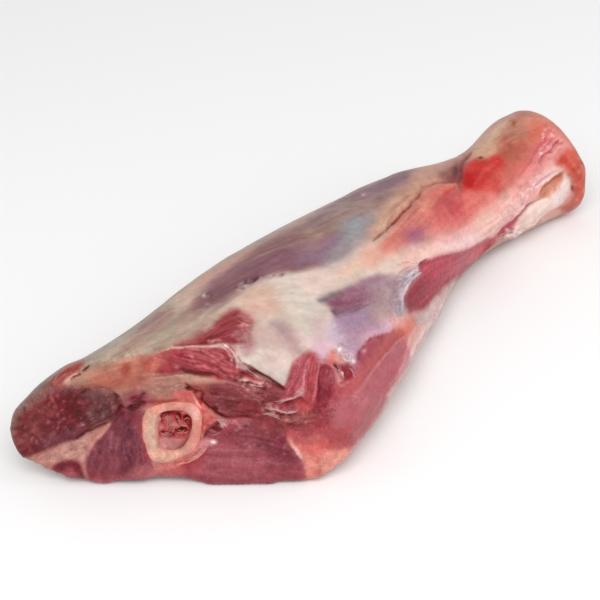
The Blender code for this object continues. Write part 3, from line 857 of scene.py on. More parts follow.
lay("31,-6 36,-3 39,-6 36,-10 31,-9", "c9a29e d0aca8", 3.0, 0.8)
lay("11,-15 19,-14 35,-9 42,-8 39,-13 32,-17 25,-18 22,-22 14,-19", "cda1b2 d8aabb", 2.4, 0.95, moist=0.85)
lay("11,-11 15,-9 20,-18 16,-19 11,-16", "c4b2c0 cfc0c8", 2.8, 0.8)
lay("20,-16 25,-14 26,-17 21,-28 20,-23", "ad88a0 b994a8", 2.0, 0.85)
strands("14,-2 21,3 35,8", "16,-7 25,-3 38,2", 26, "b795a6 74505e 94707c", 0.6, 0.45, seed=50)
strands("12,-11 20,-7 31,-5", "16,-18 25,-14 38,-11", 20, "c3b0c6 9a7f98", 0.6, 0.4, seed=51)
dot((31, 1.5), (4.0, 4.0), "9a767e", 0.6)

# The long muscle of the forearm, cut along its right edge.
lay("23,-21.5 26,-17.5 30.5,-15 37,-13 42,-9.5 46.5,-8 47.5,-11.5 45,-19 42,-28 37.5,-36 32,-44.5 27,-51.5"
    " 22,-57.5 16.5,-61.5 9,-60 12.5,-54 15,-46 14,-40 15.5,-34.5 20.5,-31 21.5,-25.5", "ab545e b5626b",
    1.2, fray=0.9, angle=52, fibres=0.8, moist=0.8, speck=0.25, height=0.7, shoulder=4.0)
lay("39,-11 44,-7 48,-8 47,-12 43,-16 40,-16", "d65f4a df705c", 2.4, 0.9)
lay("34,-16 40,-13 43,-15 38,-20 25,-33 20,-36 18,-34 23,-28", "a94f50 b45858", 2.4, 0.8, angle=48,
    fibres=0.8)
lay("24,-22 28,-18 31,-18 30,-22 21,-30", "9c4453 a7505c", 1.8, 0.85)
lay("27,-33 34,-25 39,-18 41,-20 36,-30 29,-38", "b0626a ba6e74", 2.2, 0.75, angle=50, fibres=0.7)
lay("38,-25 42,-19 44,-20 40,-30 30,-44 31,-37", "b2505c b95864", 2.0, 0.8, angle=55)
lay("18,-42 31,-38 28,-46 21,-51 16,-51", "b46a74 bb757c", 3.0, 0.85, angle=60)
draw("42,-15 37.5,-19.5 33,-24.5 29,-29.5 25.5,-35 20.5,-39.5", "cd8c88", 0.9, 0.5, 0.75, 0.2)
draw("15,-40 19,-39.5 23,-39.5", "dc9c98", 0.8, 0.6, 0.8, 0.2)
# A pale pink line painted as a highlight along the muscle's cut edge.
draw("44.5,-16.5 42.5,-22 40.5,-28 37.5,-34 34.5,-40", "d5878c", 1.0, 0.6, 0.8, 0.3)
for tear, width in (
    ("24.5,-21.5 25.5,-19.5 27,-18.5", 0.9),
    ("28,-17.5 29,-16 30.5,-15", 0.8),
    ("24,-24.5 24,-22 25,-20.5", 0.8),
    ("31,-15.5 34.5,-14.5", 0.7),
):
    draw(tear, "74384a", width, 0.4, 0.8, -0.5)
dot((26, -20.5), (1.1, 0.8), "d3a0a2", 0.85, angle=40, height=0.4)
strands("21,-30 28,-21 38,-13", "15,-53 27,-41 43,-16", 46, "bd7074 9c4450 c07c7c a64c56", 0.6, 0.26,
    seed=61, soft=0.6)
strands("25,-51 34,-40 43,-23", "20,-57 30,-46 40,-31", 18, "cc9094 9a3e48", 0.5, 0.4, seed=62)

# Sinew binds that muscle's front edge.
lay("46.5,-7.5 51.5,-3.5 56.5,1 60.5,5 64,8 61.5,1.5 57.5,-6.5 53.5,-15 49,-21.5 45,-29.5 40,-38.5 36,-45"
    " 32,-51.5 31,-50 35.5,-42.5 39.5,-34.5 42.5,-27 45,-20.5 47,-15 47.5,-10.5", "b89e9c c8aeaa", 1.2,
    fray=0.6, angle=58, fibres=0.6, moist=0.85, height=0.3)
lay("45,-12 48,-9 51,-12 48,-19 45,-21 43,-18", "db9c90 e3aca0", 1.8, 0.85, angle=60)
# Pale pink lines painted as highlights along the sinew's edge.
draw("46.5,-19.5 44,-25 41,-30.5 38,-36.5 34.5,-43", "dca6aa", 0.9, 1.0, 0.85, 0.3)
draw("45.5,-19 43.5,-23", "f0c4cc", 1.0, 0.5, 0.8, 0.3)
strands("60,4 52,-8 44,-21 34,-43", "62,6 56,-7 48,-23 37,-43", 24, "ead6d0 a5837e dcb4b2", 0.5, 0.55,
    height=0.15, seed=63)
draw("60,5.5 54,-5 51,-9", "d2a9a6", 3.4, 2.0, 0.6)

# The notch where the saw ran out: two red blades of muscle, a dark slot, and torn white fibres.
lay("-4,-30 -2,-25 2,-22 7,-21 11,-24 14,-25 17,-26 22,-25 23,-31 19,-34 16,-37 15,-45 14,-52 8,-57 -2,-57"
    " -7,-52 -11,-46 -16,-43 -11,-39 -7,-36", "98464c a9545a", 1.4, angle=70, fibres=0.8, moist=0.8,
    height=-1.0)
lay("0,-23 2.5,-22.5 3.5,-25.5 3,-31 2,-37.5 -1.5,-39.5 -6.5,-40.5 -10,-40 -6.5,-35.5 -4,-32 -3,-26",
    "a34550 b35a62", 0.9, angle=66, fibres=0.9, moist=0.85, height=1.6, shoulder=1.8)
lay("3.5,-22.5 7,-21.5 8,-25.5 7,-32 5.5,-39.5 5,-44.5 2.5,-43.5 1,-39.5 2,-33 3,-27", "a8444c b5575c", 0.8,
    angle=80, fibres=0.9, moist=0.85, height=1.7, shoulder=1.4)
strands("-1,-25 -3,-31 -8,-39", "2,-25 1,-32 -2,-39", 24, "c4767a 8a3440 bf666c", 0.5, 0.5, height=0.1,
    seed=64)
strands("4,-25 2,-33 2,-42", "7,-24 6,-32 5,-42", 22, "c47278 8a343e bb5c62", 0.5, 0.5, height=0.1, seed=65)
lay("8,-28 11,-27 13,-28 14,-33 13,-39 11,-43 8,-47 5,-47 6,-43 7,-37 7,-32", "812f3b 8e3b45", 1.6,
    angle=82, fibres=0.8, height=-2.0, shoulder=1.6)
lay("13,-32 17,-34 20,-34 20,-39 16,-41 15,-46 12,-50 9,-50 11,-43", "9c4650 a8525b", 2.6, 0.85, angle=60)
draw("3.5,-24 2,-29.5 1.5,-34.5 1.5,-37.5", "dd989c", 0.8, 0.6, 0.8, 0.7)
lay("-1.5,-37.5 1,-35.5 2,-37.5 1.5,-40 -1,-40", "d79a98 dfa8a4", 1.0, 0.85)
draw("1.5,-38 -1.5,-39.5 -5.5,-41 -10.5,-42", "e6b0a6", 0.9, 0.35, 0.95, 0.7)
draw("-11.5,-41.5 -13,-43 -15,-44", "c39a90", 1.4, 0.6, 0.8, 0.3)
draw("-14,-44 -10,-45 -6.5,-46 -3.5,-46 -0.5,-45.5", "e0aaa0", 0.9, 0.35, 0.95, 0.7)
draw("-14,-46.5 -12,-46 -10,-46.5", "c29890", 0.7, 0.4, 0.8, 0.3)
draw("-10,-47 -6.5,-47 -3.5,-47.5", "52201f", 0.9, 0.5, 0.85, -0.5)
draw("8,-24.5 8,-28.5 7,-33 6,-37.5 5,-43.5", "d8858a", 1.0, 0.6, 0.85, 0.6)
lay("-9.5,-43 -5,-41.5 0,-40 1.5,-42 -1,-44.5 -5.5,-44.5", "8c3a44 a44c54", 0.9, height=-1.2, shoulder=1.0)
lay("-3,-41 2,-40 5,-42 7,-46 -1,-46", "b04c52 bc5c5a", 2.0, 0.8)
lay("-7,-51 -5,-48 8,-47 13,-46 14,-52 10,-57 3,-57 -2,-57", "873a3e 984846", 2.2, 0.9, angle=10,
    fibres=0.7)
strands("-7,-48 0,-47 13,-47", "-4,-55 2,-54 12,-54", 30, "b8706a 6c2a2e c08078", 0.55, 0.5, height=0.15,
    seed=66, stray=0.5)
flecks("-11,-45 0,-46 7,-48 0,-51 -8,-51", 22, (0.7, 0.4), "cf9c94 5a2428", 0.75, 10.0, 0.15, 67)
lay("6,-17 11,-17 13,-20 11,-24 8,-24 5,-21", "d6a8ba deb8c4", 2.2, 0.9)
lay("12,-22 14,-20 17,-24 15,-26 12,-25", "cc665c d8786c", 2.4, 0.85, moist=0.9)
lay("16,-19 19,-18 22,-20 23,-26 21,-30 18,-25 16,-23", "c4a4b4 d2b8c2", 2.6, fray=1.4, strength=0.75,
    angle=-55, fibres=0.9, height=0.2)
dot((16, -20), (0.9, 1.1), "f4ecec", 1.0, height=0.5)
dot((21.5, -25.5), (0.9, 0.9), "eedcdc", 0.95, height=0.4)
dot((21.5, -31.5), (1.0, 0.8), "dba4aa", 0.9, height=0.4)
lay("16.5,-27.5 19.5,-26.5 22,-28.5 21.5,-32 18,-33 16.5,-30.5", "8f333e 9c414b", 1.2, height=-0.6,
    shoulder=1.2)
# A small hole, sunk and painted near-black: painted shade in it.
draw("14.5,-26 15.5,-27 17,-29", "4c1e1f", 1.1, 0.5, 0.9, -1.0)
lay("14,-27 16,-29.5 17.5,-33 17,-35.5 15,-33", "cf8e8c dda6a2", 1.2, 0.8, height=0.3)
strands("18,-19 20,-20 22,-25", "16,-21 19,-24 20,-28", 10, "f0e4e6 a47884", 0.3, 0.6, height=0.1, seed=69,
    soft=0.3, stray=1.2)
strands("14,-27 16,-30 17,-34", "17,-28 18,-31 19,-34", 14, "ecc2bc a05058", 0.45, 0.8, height=0.25,
    seed=70, soft=0.3, stray=0.4)
flecks("16,-33 19,-33 20,-35 16,-36", 8, (0.6, 0.4), "edccc8 8a3a44", 0.8, 30.0, 0.25, 71)
lay("16,-35 26,-30 28,-27 26,-32 21,-38 17,-40", "b5525a bd5c5c", 2.4, 0.6, angle=45)
lay("7,-42 13,-41 16,-46 16,-53 10,-55 6,-51", "a44c56 b0585f", 3.0, 0.5)
lay("9,-28 11,-27 14,-30 14,-37 11,-43 8,-46 7,-43 8,-35", "8e3c46 984650", 1.4, 0.8, angle=82)
draw("7,-25.5 9,-25 12,-26 14,-28", "cf8488", 1.2, 0.7, 0.7)

# The sawn face, upper right: muscle cut across and smeared by the saw.
lay("-45,-36 -38.5,-34.5 -30.5,-33.5 -20.5,-33 -13,-34 -6.5,-37 -7.5,-40 -11.5,-42.5 -15,-44.5 -13,-46.5"
    " -6.5,-51 -5,-57.5 -10,-53.5 -16.5,-51 -23,-49 -29.5,-48.5 -35.5,-45.5 -38.5,-42", "7c3a3d 8d494b",
    1.2, angle=-12, fibres=0.9, moist=0.75, height=0.7, shoulder=2.5)
lay("-32,-35 -25,-34 -14,-35 -7,-37 -11,-40 -29,-38", "8c464a 985558", 2.0, 0.8, angle=-14, fibres=1.0)
lay("-40,-36 -34,-35 -25,-40 -30,-43 -35,-43 -39,-40", "6a3237 783e41", 2.4, 0.85, angle=-20, fibres=0.9)
lay("-26,-41 -18,-42 -14,-45 -8,-49 -23,-47", "84383c 8f4446", 2.4, 0.7, angle=-20, fibres=0.9)
draw("-24.5,-29.5 -20.5,-29.5 -15.5,-31 -10.5,-34 -6.5,-37", "662c2d", 1.8, 0.8, 0.85, -0.9)
# A short pale pink line painted as a highlight of wet shine on the cut muscle.
draw("-24.5,-32 -20.5,-32.5 -15.5,-34", "dba49c", 0.8, 0.5, 0.8, 0.4)
draw("-32,-33 -28,-34 -24.5,-35", "cc8480", 0.8, 0.5, 0.7, 0.2)
strands("-41,-36 -31,-35 -15,-35", "-36,-43 -26,-46 -13,-48", 44, "98585c 6a3236 a06060 743a3c", 0.6, 0.32,
    height=0.05, seed=72, stray=0.5)
strands("-25,-34 -20,-36 -11,-39", "-25,-39 -19,-41 -14,-43", 26, "c88482 6c3034", 0.5, 0.6, height=0.15,
    seed=73, stray=0.4)
flecks("-25,-31 -16,-33 -10,-35 -17,-37 -25,-35", 34, (0.7, 0.45), "d8a8a0 5a2424 e0b4ac", 0.75, -15.0,
    0.25, 74)
flecks("-17,-42 -11,-42 -7,-47 -6,-53 -11,-51 -16,-46", 30, (0.7, 0.45), "cfa098 5c282a", 0.7, -40.0, 0.2,
    75)
flecks("-38,-38 -28,-36 -16,-38 -7,-42 -10,-46 -25,-48 -34,-46", 70, (0.7, 0.4),
    "a86c6c 562628 96504f b47c78", 0.5, 5.0, 0.12, 88)

# Thin coats of mauve and cream over the fat round the notch, at the window's edge, on the flap and by the
# sinew. The mauve coat beside the flap is painted shade on its shadow side.
lay("16,-6 30,-5 30,-11 25,-17 19,-19", "a47f8c ab8592", 4.0, 0.5)
# Painted shade on the flap's shadow side.
lay("-10,-9 -5,-11 2,-20 -4,-23 -10,-14", "ab8a8d b69496", 3.5, 0.6)
lay("-17,-11 -7,-18 2,-21 -10,-30 -17,-24", "cba89f d3b0a6", 4.0, 0.4)
lay("37,-8 43,-5 48,-5 46,-9 40,-12", "dea9a2 e2b0a6", 2.5, 0.65)

# The sawn face, lower right: the widest muscle, its fibres lying along the table.
lay("-58,-69 -51,-66.5 -43.5,-64 -40,-60 -37.5,-54 -34.5,-50 -29.5,-48 -22,-48 -15,-49 -9,-52 -5,-56.5"
    " -1,-61.5 1.5,-67 3.5,-74 -1,-78 -41,-78 -55,-74.5", "954c54 a15860", 1.0, angle=-3, fibres=1.0,
    moist=0.8, speck=0.5, height=0.8)
lay("-38,-53 -34,-50 -28,-49 -22,-52 -25,-57 -37,-57", "8c424a 985058", 2.0, 0.8, angle=-10)
lay("-30,-53 -22,-50 -15,-51 -4,-60 -6,-64 -16,-61 -30,-57", "833d43 8f4a50", 3.0, 0.85, angle=-8,
    fibres=0.9)
lay("-16,-53 -8,-55 -3,-61 -2,-66 -7,-66 -14,-61", "743540 80404a", 2.8, 0.75, angle=-30)
lay("-59,-68 -43,-65 -39,-61 -41,-67 -48,-71 -55,-72", "a7464e b24e56", 2.6, 0.85, angle=4)
draw("-32,-49 -27,-49.5 -24,-49", "bb7274", 1.2, 0.7, 0.75, 0.3)
draw("-30.5,-48 -24.5,-48 -19,-48.5", "7c242a", 1.0, 0.6, 0.8, -0.6)
strands("-39,-61 -25,-60 -4,-62", "-45,-72 -25,-73 0,-72", 44, "b06c74 86444e b87a80", 0.7, 0.22, seed=76,
    soft=0.9)
strands("-30,-51 -20,-51 -10,-54", "-30,-57 -20,-59 -5,-62", 40, "a0626a 6c3640 ab7278", 0.5, 0.4,
    height=0.08, seed=77, stray=0.5)
flecks("-28,-49 -16,-50 -6,-57 -3,-64 -13,-61 -25,-59", 60, (0.6, 0.4), "c08c90 552430 ab7278", 0.6, -10.0,
    0.15, 78)
flecks("-32,-48 -25,-49 -20,-52 -26,-55 -32,-52", 20, (0.6, 0.4), "cf9092 6a2830", 0.6, -10.0, 0.15, 79)
lay("-20,-47 -12,-48 -8,-52 -13,-56 -20,-53", "7e3c3e 8a4646", 3.0, 0.65, angle=-15)
draw("-52.5,-74 -37,-75 0,-75.5", "b67f80", 2.2, 1.0, 0.6)

# Fat at the front lower corner, coral, with a white seam of sinew along the muscle.
lay("-5,-57 0,-57 7,-55 15,-54 20,-57 25,-57 21,-64 16,-69 9,-74 3,-75 2,-71 1,-65 -2,-61", "d0786f dc8a7e",
    1.6, moist=0.85, speck=0.35, height=0.9, shoulder=2.5)
lay("2,-60 7,-57 12,-56 16,-58 6,-63", "cc5452 d46660", 3.0, 0.8)
lay("9,-63 18,-60 20,-62 11,-71 7,-69", "dc9182 e3a090", 2.6, 0.85, angle=40)
draw("-5,-56.5 -3.5,-58 -1,-60", "e29c92", 2.0, 0.8, 0.8, 0.3)
strands("0,-60 5,-64 7,-71", "7,-57 13,-60 16,-66", 26, "eda698 bb5450 e8948a", 0.6, 0.4, height=0.12,
    seed=80)
flecks("0,-60 8,-57 17,-59 14,-66 6,-72", 22, (0.8, 0.5), "f0b4a6 c25a52", 0.6, 30.0, 0.15, 81)

# The red muscle thins out over the fat, and reaches up the front edge to the sinew.
lay("-5,-54 4,-52 14,-53 21,-53 24,-57 19,-60 9,-59 0,-59", "b0545a bb6062", 2.6, 0.75)
draw("-3.5,-58 -1,-61.5 1,-65.5", "f0bcb2", 1.2, 0.5, 0.95, 1.0)
lay("-7,-55 -2,-54 3,-56 2,-59 -2,-59 -4,-57", "ac5056 b65c60", 2.0, 0.6)
draw("36,-40 31,-47.5 22,-59", "ac585e b45f65", 4.0, 1.6, 0.85)
lay("19,-47 27,-43 34,-39 30,-51 23,-58 18,-57", "a44c52 ac5459", 3.0, 0.5)
lay("13,-42 17,-41 19,-46 18,-52 14,-53 12,-48", "b66b70 b87074", 2.5, 0.7)
lay("10.5,-53.5 20.5,-52.5 25.5,-55 23,-58.5 19,-60.5 14,-59.5", "a65257 ae5a5d", 1.2, 0.8)

# The dark split to the right of the bone, with flesh pulled coral round it and along its lip. The bone's own
# outline on the saw's face is given here; its seat and its piece are made from it below.
RING_OUTSIDE = points_of(
    "-65,-51 -64.5,-47 -62.5,-44.5 -58.5,-43 -53.5,-42 -47,-42 -43.5,-42.5 -41,-45 -40,-48.5 -40,-52.5"
    " -40.5,-56.5 -42,-60 -45,-63 -49,-65 -53.5,-66.5 -57.5,-67 -60.5,-66 -62.5,-63.5 -64,-59.5 -65,-55.5"
)
lay("-52,-39 -48,-37 -44,-37 -41,-39 -39,-42 -36,-46 -33,-48 -36,-51 -38,-54 -39,-57 -40,-61 -43,-60"
    " -41,-53 -41,-46 -44,-42 -48,-42", "c6625e d0706a", 1.8, fray=0.7, angle=-50, fibres=0.5, moist=0.9,
    speck=0.35, height=0.5, shoulder=1.4)
draw("-63,-43 -59,-42 -46,-41 -41.5,-42.5 -39.5,-47.5 -41,-59 -44.5,-63.5 -49.5,-66.5 -56,-68.5 -60,-68"
    " -62.5,-65.5", "bd605a c86e66", 2.2, 1.2, 0.8, taper=0.2)
draw("-44.5,-37.5 -43,-40 -42,-42.5 -40.5,-44.5", "f0aaa2", 0.9, 0.5, 0.8, 0.3)
draw("-42.5,-38.5 -41.5,-41 -40.5,-43.5 -39.5,-46.5", "a83634", 0.6, 0.4, 0.8, -0.4)
# The near-black line of the split, the dark spots at its ends and the dark flecks beside it are painted
# shade in the crack, over sunk relief.
draw("-47,-36.5 -44.5,-36.5 -42,-37.5 -40,-38.5 -40,-41.5 -37.5,-44 -35,-45.5 -33,-47 -30.5,-48",
    "400e12 5a1618", 0.7, 0.35, 1.0, -1.2, spread=0.5, taper=0.35)
dot((-45.5, -36.5), (1.0, 0.6), "4c1014", 0.9, height=-0.4)
dot((-32, -47.5), (1.0, 0.5), "4a1418", 0.9, angle=-25, height=-0.4)
flecks("-41,-42 -39,-44 -36,-47 -37,-51 -39,-55 -41,-57 -41,-49", 34, (0.8, 0.5),
    "a03a3c e09a90 b04a48 e8a8a0", 0.6, -50.0, 0.15, 86)
flecks("-48,-35 -41,-36 -39,-40 -32,-46 -30,-48 -34,-48 -40,-42", 26, (0.9, 0.5), "54181c 6e2428 8c3438",
    0.7, -45.0, -0.3, 87)
draw("-32.5,-49.5 -34.5,-51 -36.5,-52.5 -38,-54.5 -39,-56.5", "6a262b 7c3036", 0.9, 0.6, 0.85, -0.8,
    spread=0.8)
strands("-36,-49 -34,-51 -32,-53", "-32,-48 -30,-50 -29,-52", 12, "c9a2a2 d8b6b2 6a2c32", 0.4, 0.8,
    height=0.25, seed=82, soft=0.3, stray=0.4)
strands("-38,-53 -36,-52 -33,-52", "-36,-55 -34,-54 -31,-53", 14, "c49a9c 62282f", 0.4, 0.8, height=0.25,
    seed=83, soft=0.3, stray=0.4)
lay("-38.5,-56.5 -36,-56.5 -34.5,-58 -36,-59.5 -39,-60 -42,-61.5 -42.5,-60", "c0787a cd9094", 1.0, 0.85,
    moist=0.9)
dot((-35.5, -58), (1.1, 0.8), "fce4e6", 1.0, height=0.7)
strands("-40,-60 -43,-64 -49,-66 -56,-67", "-38,-60 -42,-64 -48,-67 -55,-69", 16, "e69488 b34a48 eba296",
    0.45, 0.75, height=0.2, seed=84, soft=0.35)
draw("-62,-65 -60,-68 -57,-71", "d48c84", 1.0, 0.6, 0.8, 0.3)
lay("-65,-47 -62,-43 -57,-41 -55,-43 -59,-45 -62,-48", "ab5c54 b4665c", 1.6, 0.7)
lay("-44,-34 -39,-34 -37,-38 -39,-41 -43,-39", "a8524f b05e58", 2.0, 0.6)

# The rounded lobe at the far left of the cut, dark and dry at its tip.
lay("-117.5,-59 -117.5,-52.5 -115,-46 -110,-40 -104,-35.5 -100,-35.5 -93.5,-36 -84.5,-35.5 -78,-37"
    " -74,-39.5 -73,-42.5 -74,-46.5 -78.5,-49 -84.5,-51.5 -89.5,-56 -94.5,-58.5 -100,-59.5 -104,-61.5"
    " -108,-63.5 -113,-62.5", "6c2c34 7a3a40", 1.1, angle=42, fibres=0.3, moist=0.7, speck=0.8, height=2.0,
    shoulder=4.0)
lay("-89,-39 -83,-36 -77,-37 -73,-41 -75,-46 -86,-50", "66403f 724a4a", 3.4, 0.9, moist=0.5)
lay("-98,-39 -92,-38 -88,-42 -90,-49 -96,-53 -100,-51", "66262f 742e38", 3.6, 0.9)
lay("-114,-56 -112,-46 -106,-40 -102,-42 -103,-48 -111,-59", "7c373a 8a4442", 3.0, 0.85, angle=60)
lay("-105,-56 -98,-52 -90,-52 -89,-55 -102,-60 -106,-60", "70404a 7c4c54", 3.0, 0.85)
draw("-102.5,-37 -101.5,-40 -100,-42.5 -101.5,-46", "b0605a", 1.2, 0.8, 0.7, 0.4)
dot((-89, -51), (0.8, 0.6), "d2b8b4", 0.85, height=0.3)
draw("-89.5,-38 -85.5,-36.5 -80.5,-36.5 -77,-37.5 -74,-40", "3f1c1c", 1.0, 0.6, 0.85, -0.6)
strands("-113,-57 -107,-46 -98,-39", "-102,-60 -92,-52 -80,-44", 34, "8c4a50 54222a 844044 96585c", 0.6,
    0.3, height=0.05, seed=90, stray=0.8)
strands("-89,-39 -83,-39 -75,-40", "-89,-49 -83,-48 -77,-46", 20, "806060 4a2e30", 0.55, 0.35, height=0.05,
    seed=91, stray=0.7)
flecks("-116,-57 -114,-47 -104,-37 -89,-37 -75,-39 -75,-46 -89,-53 -102,-60 -111,-61", 110, (0.9, 0.6),
    "a06468 46181f 8c3a42 b07c7c", 0.55, 40.0, 0.15, 93)
lay("-104,-38 -102,-34 -98,-30 -94,-27 -90,-25 -89,-26 -91,-30 -94,-33 -98,-36", "984a46 a85c54", 1.4,
    angle=40, fibres=0.5, height=0.6, shoulder=2.0)
lay("-111,-42 -106,-36 -98,-29 -101,-36 -109,-43", "865250 946260", 2.4, 0.85, angle=45)
lay("-97,-34.5 -95,-31 -92.5,-29.5 -91,-30.5 -93.5,-33 -94.5,-34.5", "d49c90 dfae9f", 1.0, 0.9, height=0.4)
draw("-93.5,-33 -92,-31 -90,-30", "50241f", 0.8, 0.4, 0.9, -0.8)
draw("-89.5,-29 -88,-27.5 -86.5,-26", "54261f", 1.3, 0.5, 0.9, -1.0)
strands("-104,-36 -99,-31 -93,-26", "-99,-36 -95,-32 -90,-28", 18, "c07a70 703032", 0.45, 0.6, height=0.12,
    seed=94)
draw("-96,-26 -101,-30 -112.5,-42 -117,-47.5 -119,-53.5 -118.5,-58 -116,-62.5 -111.5,-66", "97918b", 4.0,
    1.6, 0.8, taper=0.35)
draw("-98.5,-36 -90,-35.5 -83.5,-36 -78.5,-37", "94564c", 0.9, strength=0.6, height=-0.3)
lay("-112,-42 -107,-36 -102,-34 -102,-37 -106,-40 -110,-44", "7c5450 86605a", 2.0, 0.7, angle=45)

# The pink fat between the lobe and the muscle beside it.
lay("-111.5,-63 -106.5,-62.5 -102.5,-60.5 -97.5,-59 -92.5,-58 -88.5,-55.5 -83.5,-52 -78.5,-49 -76.5,-49.5"
    " -79.5,-53.5 -83,-58 -85.5,-62.5 -87,-67 -87.5,-70.5 -91,-69 -94.5,-66.5 -98.5,-66.5 -101.5,-69"
    " -106,-68 -110,-66.5", "b37b72 bf8a80", 1.1, angle=35, fibres=0.5, moist=0.75, speck=0.45, height=0.3)
draw("-76.5,-49.5 -80,-53.5 -83,-57 -85,-61.5 -86,-65.5", "dd9a8c", 1.3, 0.6, 0.9, 0.4)
dot((-78.5, -51), (1.4, 0.9), "eeae9e", 0.85, angle=45, height=0.3)
# These two near-black lines are painted shade in the crease along the lobe's lower edge, over sunk relief.
draw("-74.5,-47.5 -78.5,-50 -83.5,-52.5 -88.5,-55 -92,-57.5", "4c1f1e", 1.0, 0.5, 0.85, -1.6)
draw("-73,-42.5 -73.5,-46 -75.5,-48.5", "3f1c1b", 0.9, 0.5, 0.8, -1.2)
draw("-98.5,-59 -101.5,-60.5 -105,-62.5 -109,-64", "8c4a46", 0.9, strength=0.6, height=-0.6)
strands("-107,-64 -98,-61 -82,-52", "-103,-67 -93,-65 -85,-61", 34, "dcaea2 8e5a52 e3b8ac a56a60", 0.5,
    0.45, height=0.12, seed=95, stray=0.5)
flecks("-109,-65 -98,-61 -89,-57 -88,-66 -98,-66 -105,-67", 34, (0.8, 0.5), "dcb2a8 8a5650", 0.5, 20.0,
    0.12, 96)

# Two muscles left of the bone: a small oval, and the large one against the bone.
lay("-101.5,-68.5 -98.5,-66 -94.5,-65.5 -90,-67 -88,-70.5 -85.5,-73.5 -88.5,-74 -94.5,-72.5 -98.5,-70.5",
    "75353b 823e44", 1.0, angle=-20, height=0.5, shoulder=1.5)
lay("-77,-49.5 -74,-46.5 -70.5,-44.5 -67,-45 -65,-49 -64,-55 -62.5,-61.5 -60,-66.5 -56,-72 -61.5,-74"
    " -74.5,-75 -81,-74.5 -86,-71.5 -87.5,-66.5 -85.5,-61.5 -83,-57.5 -80,-53.5", "784049 844a50", 1.0,
    angle=80, fibres=0.6, moist=0.75, speck=0.65, height=0.8, shoulder=2.5)
lay("-87,-70 -80,-71 -70,-71 -59,-71 -61,-75 -75,-75 -83,-75", "9c444c a9545a", 2.4, 0.85, angle=5)
lay("-69,-46 -65,-48 -64,-57 -61,-64 -63,-65 -66,-57", "9c464c a8525a", 2.0, 0.85)
lay("-75,-51 -70,-49 -67,-54 -68,-64 -72,-66 -76,-61", "6c3d46 78464e", 3.4, 0.8)
lay("-75,-47 -71,-44 -66,-44 -63,-46 -64,-49 -67,-48", "84404a 94505a", 1.6, 0.8)
draw("-85.5,-72 -77,-72.5 -68,-72.5 -60,-72", "b96a70", 0.8, 0.6, 0.6, 0.15)
strands("-80,-54 -83,-61 -84,-70", "-66,-48 -64,-59 -60,-71", 44, "97606a 5c2e38 a36c74 864850", 0.55, 0.42,
    height=0.08, seed=98, stray=0.6)
flecks("-77,-51 -67,-46 -63,-61 -60,-71 -83,-70 -84,-62", 70, (0.8, 0.5), "9c6670 542830 8c4850", 0.5, 80.0,
    0.12, 99)
lay("-70,-70 -63,-67 -49,-69 -50,-73 -61,-75 -71,-74", "b56c6c c27c7a", 2.6, 0.7)

# Thin coats over the left of the cut: the lobe's dry tip, the fascia above it, and the foot of the cut.
lay("-114,-51 -109,-44 -102,-43 -98,-47 -102,-55 -109,-59 -114,-58", "6e3a3c 7c4646", 4.0, 0.6)
draw("-115.5,-61.5 -117,-56.5 -116.5,-51 -114,-45.5", "8f6a5c 987566", 2.2, 1.4, 0.85)
lay("-73,-27 -70,-26 -69,-30 -71,-32 -72,-31", "a04a3e ac584a", 1.6, 0.75)
lay("-83,-32 -66,-32 -63,-34 -71,-36 -79,-35", "a0584c aa6256", 2.6, 0.65)
draw("-89.5,-35.5 -79.5,-36.5 -76,-37.5", "a3655a", 1.8, 1.2, 0.85)
lay("-66,-25 -61,-24 -61,-28 -64,-29", "a34a40 ab5248", 2.5, 0.6)
lay("-104,-68 -98.5,-69 -91,-69.5 -87,-72 -74,-71 -60.5,-71.5 -60.5,-75 -83.5,-77.5 -101.5,-74.5",
    "a0555c aa6068", 1.0, 0.85)
flecks("-116,-57 -114,-47 -104,-38 -94,-39 -89,-49 -98,-56 -111,-61", 90, (0.6, 0.4),
    "a46a66 3c1418 b98884", 0.5, 60.0, 0.2, 97)
flecks("-89,-39 -77,-39 -75,-45 -84,-51 -89,-51", 50, (0.6, 0.4), "8e706e 3a2222", 0.5, 20.0, 0.15, 98)

# The deep crevice above the bone: sunk relief painted black-red, which is painted shade in the crevice.
lay("-73,-39 -70,-37 -65,-37 -59,-42 -69,-46 -73,-44", "8c4c50 9a585a", 1.8, 0.8)
lay("-70.5,-44.5 -69.5,-42 -67,-41 -65,-41.5 -62.5,-42 -64,-43.5 -66.5,-44.5 -69,-45.5", "4a141e 621f2e",
    1.2, height=-1.4, shoulder=1.2)
dot((-68.5, -40), (1.8, 0.8), "742c38", 0.85, angle=10, height=-0.4)
dot((-64, -39), (1.2, 0.7), "5c2630", 0.85, angle=20, height=-0.5)
dot((-66, -40.5), (1.6, 0.8), "6a2430", 0.8, height=-0.3)
draw("-65,-42 -61.5,-42 -58,-42 -54,-42 -50,-41", "8a3c38", 0.9, 0.8, 0.75, -0.4)
draw("-74,-44 -72,-44 -69.5,-44.5", "6e2a34", 1.0, 0.8, 0.75, -0.4)
strands("-73,-40 -68,-38 -61,-40", "-72,-44 -66,-45 -61,-43", 14, "b57478 6c2832", 0.5, 0.5, height=0.15,
    seed=85)

